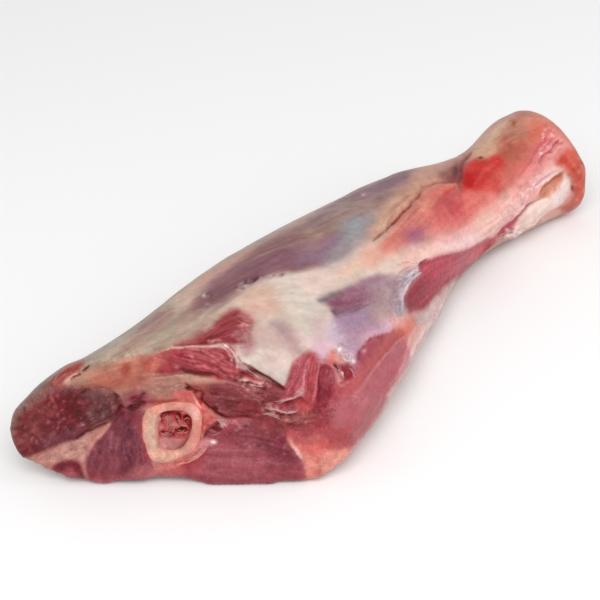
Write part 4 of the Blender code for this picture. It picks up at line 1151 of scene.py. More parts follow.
# The membrane's torn white edge over the two open muscles.
draw("-57.5,-21 -51,-19.5 -42.5,-19 -35.5,-19 -30.5,-19.5", "d9a496", 0.7, 0.4, 0.8, 0.4)
draw("-45,-19 -38.5,-19 -33,-19.5 -28.5,-20.5", "e3bdb0", 1.0, 0.6, 0.75, 0.3)
lay("-33,-19 -28.5,-19.5 -23.5,-26 -21.5,-29 -24,-28 -30.5,-21", "d3aaa4 e6c8c2", 1.0, fray=1.0,
    strength=0.8)
strands("-34,-19 -30,-21 -26,-25 -24,-28", "-31,-19 -27,-20 -24,-25 -21,-29", 22, "f2dcd6 b06a6c e8c4bc",
    0.5, 0.85, height=0.3, seed=86, soft=0.3, stray=0.4)
# The pale flecks here are painted highlights of wet shine.
flecks("-30,-20 -26,-21 -22,-28 -25,-29 -28,-25", 16, (0.7, 0.4), "f4e0dc a4565a", 0.85, -50.0, 0.3, 87)
flecks("-25,-31 -16,-33 -16,-35 -25,-33", 12, (0.7, 0.4), "e8c0b8", 0.8, -15.0, 0.3, 88)

# The leg's outer edges bulge or are drawn in a little here and there: the lobe, the foot of the cut,
# the sinew at the front, the knuckle and the back.
for edge, rise, reach in (
    ("-117,-64 -119.5,-58 -119.5,-52.5 -117.5,-44.5", 2.6, 6.0),
    ("-110.5,-35.5 -105,-30.5 -97.5,-25.5", 0.8, 5.0),
    ("-115,-67 -102.5,-72 -84,-75.5 -65.5,-74", 3.0, 6.0),
    ("-54,-74 -45,-75 -35,-76", 1.6, 5.0),
    ("-26,-76 0,-76.5 7.5,-74", 1.7, 5.0),
    ("53.5,-5.5 51,-17 45,-28.5", 0.9, 6.0),
    ("116.5,52.5 118,44.5 113,36", 1.2, 7.0),
    ("67,60.5 74,69.5 83.5,76.5", -1.3, 5.0),
    ("40,55 53.5,56.5 65,58.5", 1.0, 5.0),
    ("40,-40 33.5,-49 27,-57.5", -0.8, 5.0),
    ("-88.5,-22 -74,-15 -54,-5", -0.5, 5.0),
    ("-24.5,23.5 -4,33.5 16.5,42.5", -0.5, 5.0),
):
    swell(edge, rise, reach)

# The bone has a seat in the meat behind the sawn face. Round it the relief fades out, so that the meat
# meets the bone flat.
SEAT_DEPTH = 7.0 * MM
SEAT_EDGE = (1.4, 2.2)  # how far inside the bone's outline the meat goes down, in millimetres
RELIEF_EDGE = (-0.5, 1.0)  # and how far inside it the relief fades out
bone_outline = smooth_line(RING_OUTSIDE, closed=True)
index, places, weight = near_to("shown", bone_outline, 1.0)
reach = depth_inside(places, bone_outline)
in_seat = smoothstep(*SEAT_EDGE, reach) * (weight > 0.5)
canvas.relief = relaxed(canvas.relief, links, 1)[:, 0]
canvas.relief[index] *= 1.0 - smoothstep(*RELIEF_EDGE, reach)

# Along the sharp edges of the cut the normals turn fast, so there the relief, its direction and the
# skin itself are evened out, and the edge runs clean.
EDGE_ROUNDS = 8
EDGE_BEND = (0.003, 0.02)  # how much a mean of turning normals falls short of 1 where they are evened
even = relaxed(outward.copy(), links, EDGE_ROUNDS)
length = np.linalg.norm(even, axis=1)
at_edge = smoothstep(*EDGE_BEND, 1.0 - length)
canvas.relief = relaxed(canvas.relief, links, 2 * EDGE_ROUNDS, HALF_DRAWN * at_edge)[:, 0]
outward += at_edge[:, None] * (even / length[:, None] - outward)
skin += outward * (canvas.relief * MM)[:, None]
skin = relaxed(skin, links, EDGE_ROUNDS // 2, HALF_DRAWN * at_edge)
skin[index] -= np.array(cut_normal) * (in_seat * SEAT_DEPTH)[:, None]
skin[:, 2] = np.maximum(skin[:, 2], 0.0)
put_back(flesh.data, skin)

TISSUE_GAIN = 0.955  # tissue colours are given as they look under the studio's light
SHEEN = 0.03  # which a wet surface's own shine adds to, so that much is taken off
DARKEST, LIGHTEST = 0.002, 0.95
MOTTLE_ALL, MOTTLE_SPECK = 0.15, 0.35  # how much a colour wanders on any tissue, and more on a grainy one


def made_linear(display):
    """Display colours as linear light, by the sRGB standard's curve."""
    return np.where(display <= 0.04045, display / 12.92, ((display + 0.055) / 1.055) ** 2.4)


def keep_finish(mesh, finish):
    """Stores a canvas on its mesh, where the material reads it."""
    linear = made_linear(finish.tissue)
    linear *= 1.0 + (MOTTLE_ALL + MOTTLE_SPECK * finish.speck)[:, None] * finish.mottle[:, None]
    linear = np.clip(linear * TISSUE_GAIN - SHEEN, DARKEST, LIGHTEST)
    opaque = np.ones((len(linear), 1))
    colour = mesh.attributes.new("tissue", "FLOAT_COLOR", "POINT")
    colour.data.foreach_set("color", np.hstack([linear, opaque]).astype(np.float32).ravel())
    grain = mesh.attributes.new("grain", "FLOAT_VECTOR", "POINT")
    grain.data.foreach_set("vector", finish.grain.astype(np.float32).ravel())
    for name, values in (("fibre", finish.fibre), ("wet", finish.wet), ("speck", finish.speck)):
        mesh.attributes.new(name, "FLOAT", "POINT").data.foreach_set("value", values.astype(np.float32))


keep_finish(flesh.data, canvas)


def add_node(tree, kind, inputs=None, **settings):
    """A node with its settings made, and its inputs given values or linked to sockets."""
    made = tree.nodes.new(kind)
    for name, value in settings.items():
        setattr(made, name, value)
    for key, value in (inputs or {}).items():
        if isinstance(value, bpy.types.NodeSocket):
            tree.links.new(value, made.inputs[key])
        else:
            made.inputs[key].default_value = value
    return made


def maths(tree, operation, *values):
    """What a Math node makes of its values."""
    return add_node(tree, "ShaderNodeMath", dict(enumerate(values)), operation=operation).outputs[0]


def vector_maths(tree, operation, inputs):
    return add_node(tree, "ShaderNodeVectorMath", inputs, operation=operation).outputs["Vector"]


def new_group(name, kind, inputs, outputs):
    """An empty node group with its sockets, and its input and output nodes."""
    group = bpy.data.node_groups.new(name, kind)
    for way, sockets in (("INPUT", inputs), ("OUTPUT", outputs)):
        for socket_name, socket_type, *value in sockets:
            socket_type = "NodeSocket" + socket_type
            socket = group.interface.new_socket(socket_name, in_out=way, socket_type=socket_type)
            if value:
                socket.default_value = value[0]
    return group, group.nodes.new("NodeGroupInput").outputs, group.nodes.new("NodeGroupOutput").inputs


FIBRE_SCALE = 1.5
GRIT_SCALE, PATCH_SCALE = 2.3, 0.3  # beside the speckle's own
SPECKLE_SHARE, GRIT_SHARE = 1.5, 1.3  # beside the patches' share, which is 1
GRAIN_CONTRAST = 0.9
GLINT_ABOVE, PAINTED_GLINT = 0.17, 0.07  # painted glints: the brightest specks' colour is raised by this much
DRY_ROUGHNESS, WET_SMOOTHING, SPECKLE_ROUGHNESS = 0.62, -0.38, 0.4


def raw_surface_group():
    """Mottling, fibres, painted glints, moisture and fine height over the laid tissue colours."""
    group, given, out = new_group(
        "raw surface",
        "ShaderNodeTree",
        (
            ("Tissue", "Color"),
            ("Grain", "Vector"),
            ("Fibre", "Float"),
            ("Wet", "Float"),
            ("Speck", "Float"),
            ("Speck Scale", "Float", 900.0),
            ("Fibre Contrast", "Float", 0.7),
        ),
        (("Colour", "Color"), ("Roughness", "Float"), ("Height", "Float")),
    )
    place = add_node(group, "ShaderNodeTexCoord").outputs["Object"]

    def centred_noise(vector, scale, detail):
        noise = add_node(group, "ShaderNodeTexNoise", {
            "Vector": vector, "Scale": scale, "Detail": detail, "Roughness": 0.62,
        })
        return maths(group, "SUBTRACT", noise.outputs["Fac"], 0.5)

    def grain_noise(scale, detail):
        return centred_noise(place, maths(group, "MULTIPLY", given["Speck Scale"], scale), detail)

    strands_seen = maths(group, "MULTIPLY", centred_noise(given["Grain"], FIBRE_SCALE, 4.0), given["Fibre"])
    speckle = centred_noise(place, given["Speck Scale"], 3.0)
    patches = grain_noise(PATCH_SCALE, 2.0)
    grains = maths(group, "MULTIPLY_ADD", grain_noise(GRIT_SCALE, 1.0), GRIT_SHARE, patches)
    grains = maths(group, "MULTIPLY_ADD", speckle, SPECKLE_SHARE, grains)
    bright = maths(group, "MULTIPLY_ADD", strands_seen, given["Fibre Contrast"], 1.0)
    grains_seen = maths(group, "MULTIPLY", grains, given["Speck"])
    bright = maths(group, "MULTIPLY_ADD", grains_seen, GRAIN_CONTRAST, bright)
    colour = vector_maths(group, "SCALE", {0: given["Tissue"], "Scale": bright})
    # The brightest specks get a painted highlight added to their colour, as wet glints.
    painted_glint = maths(group, "GREATER_THAN", speckle, GLINT_ABOVE)
    painted_glint = maths(group, "MULTIPLY", painted_glint, maths(group, "MULTIPLY", given["Speck"], PAINTED_GLINT))
    group.links.new(vector_maths(group, "ADD", {0: colour, 1: painted_glint}), out["Colour"])
    rough = maths(group, "MULTIPLY_ADD", given["Wet"], WET_SMOOTHING, DRY_ROUGHNESS)
    rough = maths(group, "MULTIPLY_ADD", speckle, SPECKLE_ROUGHNESS, rough)
    group.links.new(rough, out["Roughness"])
    group.links.new(maths(group, "MULTIPLY_ADD", grains, given["Speck"], strands_seen), out["Height"])
    return group


raw_surface = raw_surface_group()
GLOW_RADIUS = (1.0, 0.35, 0.25)  # how far red, green and blue go under the surface, beside its depth
GLOW_DEPTH = 2.0 * MM
COAT_ROUGHNESS = 0.22
MOIST_IOR = 1.34
MOIST_SHINE = 0.4


def raw_material(name, subsurface, coat, bump, bump_depth, **group_values):
    """A wet raw tissue that reads its finish from the mesh it is on."""
    material = bpy.data.materials.new(name)
    material.use_nodes = True
    tree = material.node_tree
    shader = tree.nodes["Principled BSDF"]
    surface = add_node(tree, "ShaderNodeGroup", node_tree=raw_surface)
    for attribute, output in (
        ("tissue", "Color"), ("grain", "Vector"), ("fibre", "Fac"), ("wet", "Fac"), ("speck", "Fac"),
    ):
        stored = add_node(tree, "ShaderNodeAttribute", attribute_name=attribute)
        tree.links.new(stored.outputs[output], surface.inputs[attribute.title()])
    for key, value in group_values.items():
        surface.inputs[key.replace("_", " ").title()].default_value = value
    tree.links.new(surface.outputs["Colour"], shader.inputs["Base Color"])
    tree.links.new(surface.outputs["Roughness"], shader.inputs["Roughness"])
    bumped = add_node(tree, "ShaderNodeBump", {
        "Height": surface.outputs["Height"], "Strength": bump, "Distance": bump_depth,
    })
    tree.links.new(bumped.outputs["Normal"], shader.inputs["Normal"])
    shader.inputs["Subsurface Weight"].default_value = subsurface
    shader.inputs["Subsurface Radius"].default_value = GLOW_RADIUS
    shader.inputs["Subsurface Scale"].default_value = GLOW_DEPTH
    shader.inputs["Coat Weight"].default_value = coat
    shader.inputs["Coat Roughness"].default_value = COAT_ROUGHNESS
    shader.inputs["IOR"].default_value = MOIST_IOR
    shader.inputs["Specular IOR Level"].default_value = MOIST_SHINE
    return material


flesh_material = raw_material("raw_flesh", subsurface=0.12, coat=0.12, bump=0.35, bump_depth=0.5 * MM)
flesh.data.materials.clear()
flesh.data.materials.append(flesh_material)
flesh.data.shade_smooth()
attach(flesh, "root")
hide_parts("meat")


# --- The torn fibres ---------------------------------------------------------------------------
# Fine white threads of connective tissue, where muscles were pulled apart: at the notch, beside the
# bone, along the edges of the blades, and round the window in the silverskin.

THREAD_GUIDES = (
    "15,-20.5 16,-18.5 18,-18", "17,-18 19.5,-19.5 20.5,-21.5", "20,-20.5 22,-23.5 22.5,-26",
    "21,-23 20.5,-26 21.5,-29.5", "16.5,-21.5 17.5,-23.5 17,-25.5", "15,-26 16,-29 17,-33",
    "19.5,-27.5 21.5,-29 22,-31.5", "12.5,-21.5 14.5,-20.5 15.5,-21.5", "-33.5,-48.5 -31.5,-49.5 -30,-51",
    "-39,-60 -42,-63.5 -46.5,-66", "1.5,-38 -2,-39.5 -6,-41 -11,-42.5",
    "-14.5,-44 -10,-45 -5.5,-46 -0.5,-45.5", "-15.5,-46 -12,-46.5 -7.5,-48.5",
    "38.5,12.5 42,15 46,15 49,15", "37.5,5.5 39.5,9.5 42,12.5 45.5,14", "38.5,0 40,4 41.5,8",
    "40,-5 41,-1.5 41.5,1.5", "81.5,26 84.5,28 87.5,28 90,29.5", "83.5,24.5 86.5,26 89.5,28.5",
    "-27.5,-23.5 -23.5,-27 -19.5,-30.5 -15.5,-33", "-21.5,-34 -18,-35 -14,-35.5",
    "-24.5,-12.5 -22,-15 -21.5,-17.5",
)
THREAD_LIFT = 0.12 * MM
WELL_SHOWN = 0.1  # threads lie only where the skin faces the chart's eye at least this squarely
THREAD_STARTS, THREAD_ENDS = (0.0, 0.35), (0.6, 1.0)  # how far along its guide each begins and ends
THREAD_POINTS, THREAD_SIDES = 16, 5
THREAD_SCATTER = (-1.0, -1.0, -0.4), (1.0, 1.0, 0.6)  # times the spread
THREAD_TIP = 0.3  # how thick its ends are, beside its middle
WAVE_SCALE = 260.0


def skin_line(surface, guide, lift):
    """A chart line carried to the nearest facing points of a piece, lifted off it a little."""
    points, normals = points_and_normals(surface.data)
    facing = facing_chart(points, normals) > WELL_SHOWN
    points, normals = points[facing], normals[facing]
    places = chart_places(points)
    line = smooth_line(guide, closed=False)
    nearest = [np.argmin(np.hypot(*(places - place).T)) for place in line[::2]]
    return points[nearest] + normals[nearest] * lift


def thread_tree(material):
    """Turns guide curves into bundles of fine wavy threads."""
    tree, given, out = new_group(
        "threads",
        "GeometryNodeTree",
        (
            ("Guides", "Geometry"),
            ("Threads", "Int", 4),
            ("Spread", "Float", 0.0007),
            ("Waviness", "Float", 0.0012),
            ("Thickness", "Float", 0.00008),
            ("Seed", "Int", 3),
        ),
        (("Geometry", "Geometry"),),
    )

    def chance(limits, seed_step, kind="FLOAT"):
        seed = maths(tree, "ADD", given["Seed"], seed_step)
        made = add_node(tree, "FunctionNodeRandomValue", {"ID": thread_number, "Seed": seed}, data_type=kind)
        for name, value in zip(("Min", "Max"), limits):
            limit = next(socket for socket in made.inputs if socket.name == name and socket.enabled)
            limit.default_value = value
        return next(socket for socket in made.outputs if socket.enabled)

    thread_number = add_node(tree, "GeometryNodeInputIndex").outputs[0]
    bundles = add_node(tree, "GeometryNodeDuplicateElements", {
        "Geometry": given["Guides"], "Amount": given["Threads"],
    }, domain="SPLINE")
    trimmed = add_node(tree, "GeometryNodeTrimCurve", {
        "Curve": bundles.outputs["Geometry"],
        "Start": chance(THREAD_STARTS, 1),
        "End": chance(THREAD_ENDS, 2),
    })
    even = add_node(tree, "GeometryNodeResampleCurve", {
        "Curve": trimmed.outputs["Curve"], "Count": THREAD_POINTS,
    })
    numbered = add_node(tree, "GeometryNodeCaptureAttribute", {"Geometry": even.outputs["Curve"]},
        domain="CURVE")
    numbered.capture_items.new("INT", "Thread")
    tree.links.new(thread_number, numbered.inputs["Thread"])
    thread_number = numbered.outputs["Thread"]
    scatter = chance(THREAD_SCATTER, 3, "FLOAT_VECTOR")
    shift = vector_maths(tree, "SCALE", {0: scatter, "Scale": given["Spread"]})
    noise = add_node(tree, "ShaderNodeTexNoise", {"W": thread_number, "Scale": WAVE_SCALE},
        noise_dimensions="4D")
    centred = vector_maths(tree, "SUBTRACT", {0: noise.outputs["Color"], 1: (0.5, 0.5, 0.5)})
    wave = vector_maths(tree, "SCALE", {0: centred, "Scale": given["Waviness"]})
    placed = add_node(tree, "GeometryNodeSetPosition", {
        "Geometry": numbered.outputs["Geometry"],
        "Offset": vector_maths(tree, "ADD", {0: shift, 1: wave}),
    })
    along = add_node(tree, "GeometryNodeSplineParameter").outputs["Factor"]
    bulge = maths(tree, "SINE", maths(tree, "MULTIPLY", along, math.pi))
    tapered = add_node(tree, "GeometryNodeSetCurveRadius", {
        "Curve": placed.outputs["Geometry"],
        "Radius": maths(tree, "MULTIPLY_ADD", bulge, 1.0 - THREAD_TIP, THREAD_TIP),
    })
    profile = add_node(tree, "GeometryNodeCurvePrimitiveCircle", {
        "Resolution": THREAD_SIDES, "Radius": given["Thickness"],
    })
    tube = add_node(tree, "GeometryNodeCurveToMesh", {
        "Curve": tapered.outputs["Curve"], "Profile Curve": profile.outputs["Curve"], "Fill Caps": True,
    })
    real = add_node(tree, "GeometryNodeRealizeInstances", {"Geometry": tube.outputs["Mesh"]})
    coated = add_node(tree, "GeometryNodeSetMaterial", {
        "Geometry": real.outputs["Geometry"], "Material": material,
    })
    tree.links.new(coated.outputs["Geometry"], out["Geometry"])
    return tree


def thread_piece(name, lines, colour, **sizes):
    """Threads along the lines, as one plain mesh of its own pale, moist material."""
    material = bpy.data.materials.new(name)
    material.use_nodes = True
    shader = material.node_tree.nodes["Principled BSDF"]
    shader.inputs["Base Color"].default_value = (*colour, 1.0)
    shader.inputs["Roughness"].default_value = 0.35
    shader.inputs["Subsurface Weight"].default_value = 0.2
    shader.inputs["Subsurface Radius"].default_value = (1.0, 0.4, 0.3)
    shader.inputs["Subsurface Scale"].default_value = 1.0 * MM
    guides = bpy.data.curves.new(name + "_guides", "CURVE")
    guides.dimensions = "3D"
    for line in lines:
        spline = guides.splines.new("POLY")
        spline.points.add(len(line) - 1)
        spline.points.foreach_set("co", np.hstack([line, np.ones((len(line), 1))]).ravel())
    holder = mesh_object(name + "_guides", guides)
    modifier = holder.modifiers.new("threads", "NODES")
    modifier.node_group = thread_tree(material)
    for item in modifier.node_group.interface.items_tree:
        if item.name in sizes:
            modifier[item.identifier] = sizes[item.name]
    evaluated = holder.evaluated_get(bpy.context.evaluated_depsgraph_get())
    piece = mesh_object(name, bpy.data.meshes.new_from_object(evaluated))
    bpy.data.objects.remove(holder)
    piece.data.shade_smooth()
    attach(piece, "root")
    return piece


torn_fibres = thread_piece(
    "torn_fibres", [skin_line(flesh, guide, THREAD_LIFT) for guide in THREAD_GUIDES], (0.62, 0.40, 0.40)
)
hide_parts("meat")


# --- The bone ----------------------------------------------------------------------------------
# The upper arm bone, a tube of compact bone. The saw left its face flat and a little proud of the
# meat, which shrinks back, with a pink skin of periosteum round its edge.

RING_INSIDE = points_of(
    "-58,-60 -58.5,-56 -58.5,-51 -58,-47.5 -56,-46 -53,-45.5 -49,-45.5 -46.5,-46.5 -44.5,-49 -44.5,-52"
    " -45,-55 -46.5,-58 -48.5,-60.5 -51.5,-61.5 -55.5,-61.5"
)
RING_STEPS = 144
FACE_STEPS = 16
BONE_PROUD = 0.35  # millimetres
WALL_DEPTHS = (0.3, 0.7, 1.2, 2.0, 3.0, 4.5, 6.5, 9.0, 14.0, 25.0, 45.0, 80.0, 130.0, 170.0)
SHAFT_RADIUS = (9.5, 5.5)  # where the outline has become round, and at the far end
SHAFT_WALL = 4.2
SHAFT_LEAST = 1.2  # of the bore's radius
ROUND_BY = 45.0  # how far in the outline becomes round
WORN = 0.45  # how far the face's two edges are worn down
WORN_INSIDE, WORN_OUTSIDE = 14.0, 9.0  # how fast that fades out across the wall

cut_right = Vector((0, 0, 1)).cross(cut_normal).normalized()
cut_upward = cut_normal.cross(cut_right)
turns = np.linspace(0.0, 2 * math.pi, RING_STEPS, endpoint=False)


def on_cut(places):
    """Chart places as points on the saw's plane: millimetres right and up from the cut's own point."""
    rays = (
        -np.array(chart_out)[None, :] * CHART_DISTANCE
        + places[:, :1] * MM * np.array(chart_right)
        + places[:, 1:] * MM * np.array(chart_up)
    )
    reach = ((cut_point - chart_eye).dot(cut_normal)) / (rays @ np.array(cut_normal))
    points = np.array(chart_eye) + rays * reach[:, None] - np.array(cut_point)
    return np.stack([points @ np.array(cut_right), points @ np.array(cut_upward)], axis=1) / MM


def radii_about(centre, outline):
    """How far an outline on the cut lies from the centre, at each turn."""
    line = on_cut(smooth_line(outline, closed=True)) - centre
    bearing = np.arctan2(line[:, 1], line[:, 0])
    order = np.argsort(bearing)
    return np.interp(turns, bearing[order], np.hypot(*line[order].T), period=2 * math.pi)


ring_centre = on_cut(smooth_line(RING_INSIDE, closed=True)).mean(axis=0)
outer_radii = radii_about(ring_centre, RING_OUTSIDE)
inner_radii = radii_about(ring_centre, RING_INSIDE)


def far_end_of(node):
    """The middle of a CAD node's end that is furthest along the leg."""
    points = np.array([vert.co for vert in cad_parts[node].data.vertices])
    return points[points[:, 0] > points[:, 0].max() - 2 * MM].mean(axis=0)


def shaft_points(radii, depth, lift=0.0):
    """A ring of points on the bone: its radii at each turn, how deep behind the cut, how proud of it."""
    near_end = np.array(cut_point) + MM * (
        ring_centre[0] * np.array(cut_right) + ring_centre[1] * np.array(cut_upward)
    )
    along = far_end_of("bone") - near_end
    along /= np.linalg.norm(along)
    flat = np.cos(turns)[:, None] * np.array(cut_right) + np.sin(turns)[:, None] * np.array(cut_upward)
    depth = np.broadcast_to(depth, radii.shape)[:, None]
    lift = np.broadcast_to(lift, radii.shape)[:, None]
    return near_end + flat * (radii * MM)[:, None] + along * depth * MM + np.array(cut_normal) * lift * MM


def wall_radii(outline_radii, depth, inset):
    """The bone's section at a depth, between its sawn outline and the round shaft."""
    shaft = np.interp(depth, (ROUND_BY, WALL_DEPTHS[-1]), SHAFT_RADIUS) - inset
    share = smoothstep(0.0, ROUND_BY, depth)
    return outline_radii * (1.0 - share) + max(shaft, SHAFT_LEAST) * share


def skin_rings(name, rings, closed):
    """One mesh over rings of equally many points, either joined into a loop or capped at both ends."""
    around = len(rings[0])
    points = np.vstack(rings)
    faces = []
    for ring in range(len(rings) if closed else len(rings) - 1):
        near, following = ring * around, (ring + 1) % len(rings) * around
        for step in range(around):
            beside = (step + 1) % around
            faces.append((near + step, near + beside, following + beside, following + step))
    if not closed:
        faces.append(tuple(range(around)))
        faces.append(tuple(range(len(points) - around, len(points))))
    mesh = bpy.data.meshes.new(name)
    mesh.from_pydata(points.tolist(), [], faces)
    shaped = bmesh.new()
    shaped.from_mesh(mesh)
    bmesh.ops.recalc_face_normals(shaped, faces=shaped.faces)
    shaped.to_mesh(mesh)
    shaped.free()
    return mesh_object(name, mesh)


bone_rings = []
for depth in reversed(WALL_DEPTHS):
    bone_rings.append(shaft_points(wall_radii(inner_radii, depth, SHAFT_WALL), depth))
for share in np.linspace(0.0, 1.0, FACE_STEPS + 1):
    worn = WORN * (math.exp(-share * WORN_INSIDE) + math.exp(-(1.0 - share) * WORN_OUTSIDE))
    radii = inner_radii * (1.0 - share) + outer_radii * share
    bone_rings.append(shaft_points(radii, 0.0, BONE_PROUD - worn))
for depth in WALL_DEPTHS:
    bone_rings.append(shaft_points(wall_radii(outer_radii, depth, 0.0), depth))
bone = skin_rings("sawn_bone", bone_rings, closed=True)
canvas = new_canvas(*points_and_normals(bone.data))
lay(everywhere, "cc9a88 d8aa98", fray=0.0, fibres=0.1, angle=80, moist=0.55, speck=0.5)
lay("-65,-60 -64,-49 -61,-45 -59,-46 -59,-57 -59,-64 -62,-66", "d0a28e dbb2a0", 1.6, 0.8, angle=85)
dot((-61.5, -55), (1.8, 5.0), "dab6a4", 0.6)
lay("-61,-47 -58,-43 -46,-42 -43,-44 -47,-46 -55,-46 -59,-48", "d49284 dc9e92", 1.4, 0.85, angle=0)
lay("-47,-42 -43,-43 -40,-46 -41,-51 -43,-51", "e2a095 e8aca2", 1.6, 0.9)
lay("-44,-51 -40,-51 -43,-62 -46,-60 -45,-56", "cb7c70 d58a80", 1.8, 0.9, angle=80)
lay("-48,-58 -45,-58 -45,-61 -49,-64 -52,-62 -49,-61", "cd9084 d69c90", 1.4, 0.8)
lay("-61,-62 -59,-66 -53,-66 -48,-64 -52,-62", "d09e88 daaa96", 1.5, 0.85)
dot((-55, -64), (4.4, 1.2), "d2a68c", 0.6, angle=-4)
draw(np.vstack([RING_OUTSIDE, RING_OUTSIDE[:1]]), "db8c7e e39a8c", 2.8, 1.1, 0.8, taper=0.0)
draw(np.vstack([RING_OUTSIDE, RING_OUTSIDE[:1]]), "cf7a70", 1.0, 0.6, 0.5, taper=0.0)
draw(np.vstack([RING_INSIDE, RING_INSIDE[:1]]), "bd7c70", 1.3, 0.9, 0.7, taper=0.0)
dot((-59.5, -62.5), (2.4, 2.0), "e0a898", 0.6)
dot((-42.5, -46), (1.6, 1.6), "f0b4aa", 0.7)
dot((-60, -46), (2.0, 1.2), "c8927e", 0.6)
flecks("-64,-53 -63,-46 -57,-43 -45,-43 -41,-48 -41,-57 -46,-63 -56,-66 -61,-64", 60, (0.9, 0.6),
    "c48a7a e2bcae b87a6c", 0.45, angle=60, seed=21)
bone_points, bone_normals = points_and_normals(bone.data)
bone_grit = 0.16 * canvas.ragged + clouds(bone_points, (0.1, 1.1, 41))
put_back(bone.data, bone_points + bone_normals * (bone_grit * MM)[:, None])
keep_finish(bone.data, canvas)
bone.data.materials.append(
    raw_material("sawn_bone", subsurface=0.1, coat=0.05, bump=0.25, bump_depth=0.3 * MM, speck_scale=1400.0)
)
bone.data.shade_smooth()
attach(bone, "root")
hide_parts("bone")


# --- The marrow --------------------------------------------------------------------------------
# Red, spongy marrow where the saw tore it from its fine bone struts, and smooth pink-grey fat
# marrow below. It fills the bone's bore.

MARROW_STEPS = 30
MARROW_OVERLAP = 0.2  # millimetres into the bone's wall, so no gap shows
MARROW_SUNK = 0.5
marrow_rings = []
for step in range(1, MARROW_STEPS + 1):
    share = step / MARROW_STEPS
    marrow_rings.append(shaft_points((inner_radii + MARROW_OVERLAP) * share, 0.0, -MARROW_SUNK))
for depth in WALL_DEPTHS[2:-2]:
    marrow_rings.append(shaft_points(wall_radii(inner_radii, depth, SHAFT_WALL) + MARROW_OVERLAP, depth))
marrow = skin_rings("bone_marrow", marrow_rings, closed=False)
canvas = new_canvas(*points_and_normals(marrow.data))
lay(everywhere, "a8464a c26664", fray=0.0, moist=0.85, speck=0.6)
lay("-59,-56 -54,-56 -49,-56 -46,-57 -47,-60 -51,-62 -56,-61 -58,-60", "b46c68 c07e7c", 1.8, fray=1.0,
    moist=0.8, height=0.3)
draw("-46.5,-56 -47,-58.5 -51.5,-62", "a4524a", 1.6, 1.0, 0.7)
dot((-55.5, -59), (2.4, 1.6), "bf8684", 0.6, angle=20)
lay("-58,-51 -57.5,-46.5 -54,-45.5 -47.5,-45.5 -44.5,-49 -44.5,-53.5 -47.5,-56 -53.5,-56 -57.5,-55.5",
    "a6383c bc5654", 1.2, fray=1.0, height=-0.8, shoulder=1.2)
# The pits are sunk and painted near-black red: painted shade in the hollows as well as the marrow's own dark
# red.
for pit, size, depth in (
    ((-54.5, -46.5), (2.6, 0.9), -1.3),
    ((-50, -48), (0.9, 1.6), -1.2),
    ((-46.5, -49.5), (1.3, 1.7), -1.4),
    ((-49, -53.5), (2.6, 0.9), -1.5),
    ((-57, -49), (0.9, 1.6), -0.9),
    ((-53, -55.5), (1.4, 0.8), -0.9),
    ((-56, -54.5), (0.9, 0.6), -0.6),
    ((-45, -52), (0.8, 0.8), -0.8),
):
    dot(pit, size, "6e1418 801c20", 0.95, height=depth)
for knob, size in (
    ((-54, -49), (2.0, 1.6)),
    ((-48, -46.5), (1.6, 1.0)),
    ((-52, -51.5), (2.0, 1.2)),
    ((-56.5, -52.5), (1.6, 1.2)),
):
    dot(knob, size, "cc7674 d08884", 0.8, height=0.7)
draw("-53.5,-51 -51,-51 -49,-52", "d8908c", 0.6, strength=0.8, height=0.6)
draw("-48.5,-49 -47,-51.5 -45.5,-53", "cf7a76", 0.6, strength=0.8, height=0.6)
draw("-58,-56.5 -54,-56 -50,-56.5 -46.5,-56", "9c3a3c", 0.8, 0.8, 0.45, -0.3)
marrow_points, marrow_normals = points_and_normals(marrow.data)
marrow_lift = canvas.relief + clouds(marrow_points, (0.25, 1.6, 51), (0.15, 0.8, 52))
put_back(marrow.data, marrow_points + marrow_normals * (marrow_lift * MM)[:, None])
keep_finish(marrow.data, canvas)
marrow.data.materials.append(
    raw_material("wet_marrow", subsurface=0.15, coat=0.25, bump=0.4, bump_depth=0.4 * MM,
        speck_scale=1600.0)
)
marrow.data.shade_smooth()
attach(marrow, "root")
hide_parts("marrow")


# --- The marrow's struts ------------------------------------------------------------------------
# Fine pink struts of spongy bone that cross the torn marrow.

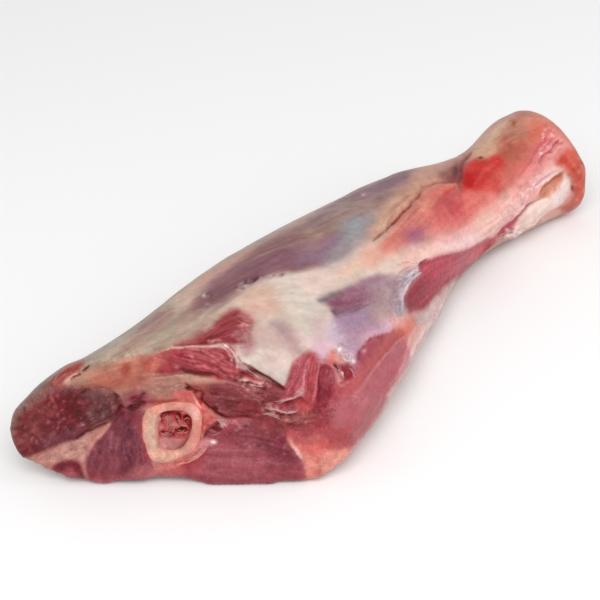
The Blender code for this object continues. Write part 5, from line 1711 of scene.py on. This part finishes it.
STRUT_GUIDES = (
    "-57.5,-50 -55,-48.5 -52.5,-49 -50,-47", "-55,-46.5 -53.5,-49 -54,-51.5 -56,-53.5",
    "-51,-46 -50,-49 -48,-51 -45.5,-51.5", "-56,-53 -53.5,-51.5 -50.5,-52.5 -47.5,-52",
    "-52.5,-49 -51.5,-51.5 -52.5,-54.5", "-49,-49 -46.5,-48 -45,-49", "-50.5,-53.5 -48,-54.5 -46,-53.5",
    "-58,-54 -56,-55 -53,-54",
)
STRUT_LIFT = 0.2 * MM
struts = thread_piece(
    "marrow_struts", [skin_line(marrow, guide, STRUT_LIFT) for guide in STRUT_GUIDES], (0.50, 0.17, 0.16),
    Threads=4, Spread=0.0009, Waviness=0.0022, Thickness=0.00017, Seed=8,
)
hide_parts("marrow")


# --- The studio --------------------------------------------------------------------------------
# A pale floor, a broad soft light from the upper left, a weaker one from the right, and pale walls.

FLOOR_SIZE = 6.0
LENS = 120.0
KEY_PLACE, KEY_POWER, KEY_SIZE = Vector((-0.55, -0.45, 0.95)), 7.9, 0.9
FILL_PLACE, FILL_POWER, FILL_SIZE = Vector((0.75, -0.65, 0.6)), 2.7, 0.8
WALL_LIGHT = 0.6

floor_material = bpy.data.materials.new("pale_floor")
floor_material.use_nodes = True
floor_shader = floor_material.node_tree.nodes["Principled BSDF"]
floor_shader.inputs["Base Color"].default_value = (0.93, 0.93, 0.93, 1.0)
floor_shader.inputs["Roughness"].default_value = 0.8
bpy.ops.mesh.primitive_plane_add(size=FLOOR_SIZE)
floor = bpy.context.active_object
floor.name = "floor"
floor.data.materials.append(floor_material)


def soft_light(name, place, power, size):
    light = bpy.data.lights.new(name, "AREA")
    light.shape = "DISK"
    light.size = size
    light.energy = power
    lamp = bpy.data.objects.new(name, light)
    lamp.location = place
    lamp.rotation_euler = (CHART_MIDDLE - place).to_track_quat("-Z", "Y").to_euler()
    bpy.context.scene.collection.objects.link(lamp)


soft_light("key", KEY_PLACE, KEY_POWER, KEY_SIZE)
soft_light("fill", FILL_PLACE, FILL_POWER, FILL_SIZE)
world = bpy.data.worlds.new("studio")
world.use_nodes = True
walls = world.node_tree.nodes["Background"]
walls.inputs["Color"].default_value = (1.0, 1.0, 1.0, 1.0)
walls.inputs["Strength"].default_value = WALL_LIGHT
bpy.context.scene.world = world
bpy.context.scene.view_settings.view_transform = "Standard"

lens = bpy.data.cameras.new("camera")
lens.lens = LENS
lens.sensor_width = 36.0
camera = bpy.data.objects.new("camera", lens)
camera_turn = Matrix((chart_right, chart_up, chart_out)).transposed()
camera.matrix_world = Matrix.Translation(chart_eye) @ camera_turn.to_4x4()
bpy.context.scene.collection.objects.link(camera)
bpy.context.scene.camera = camera
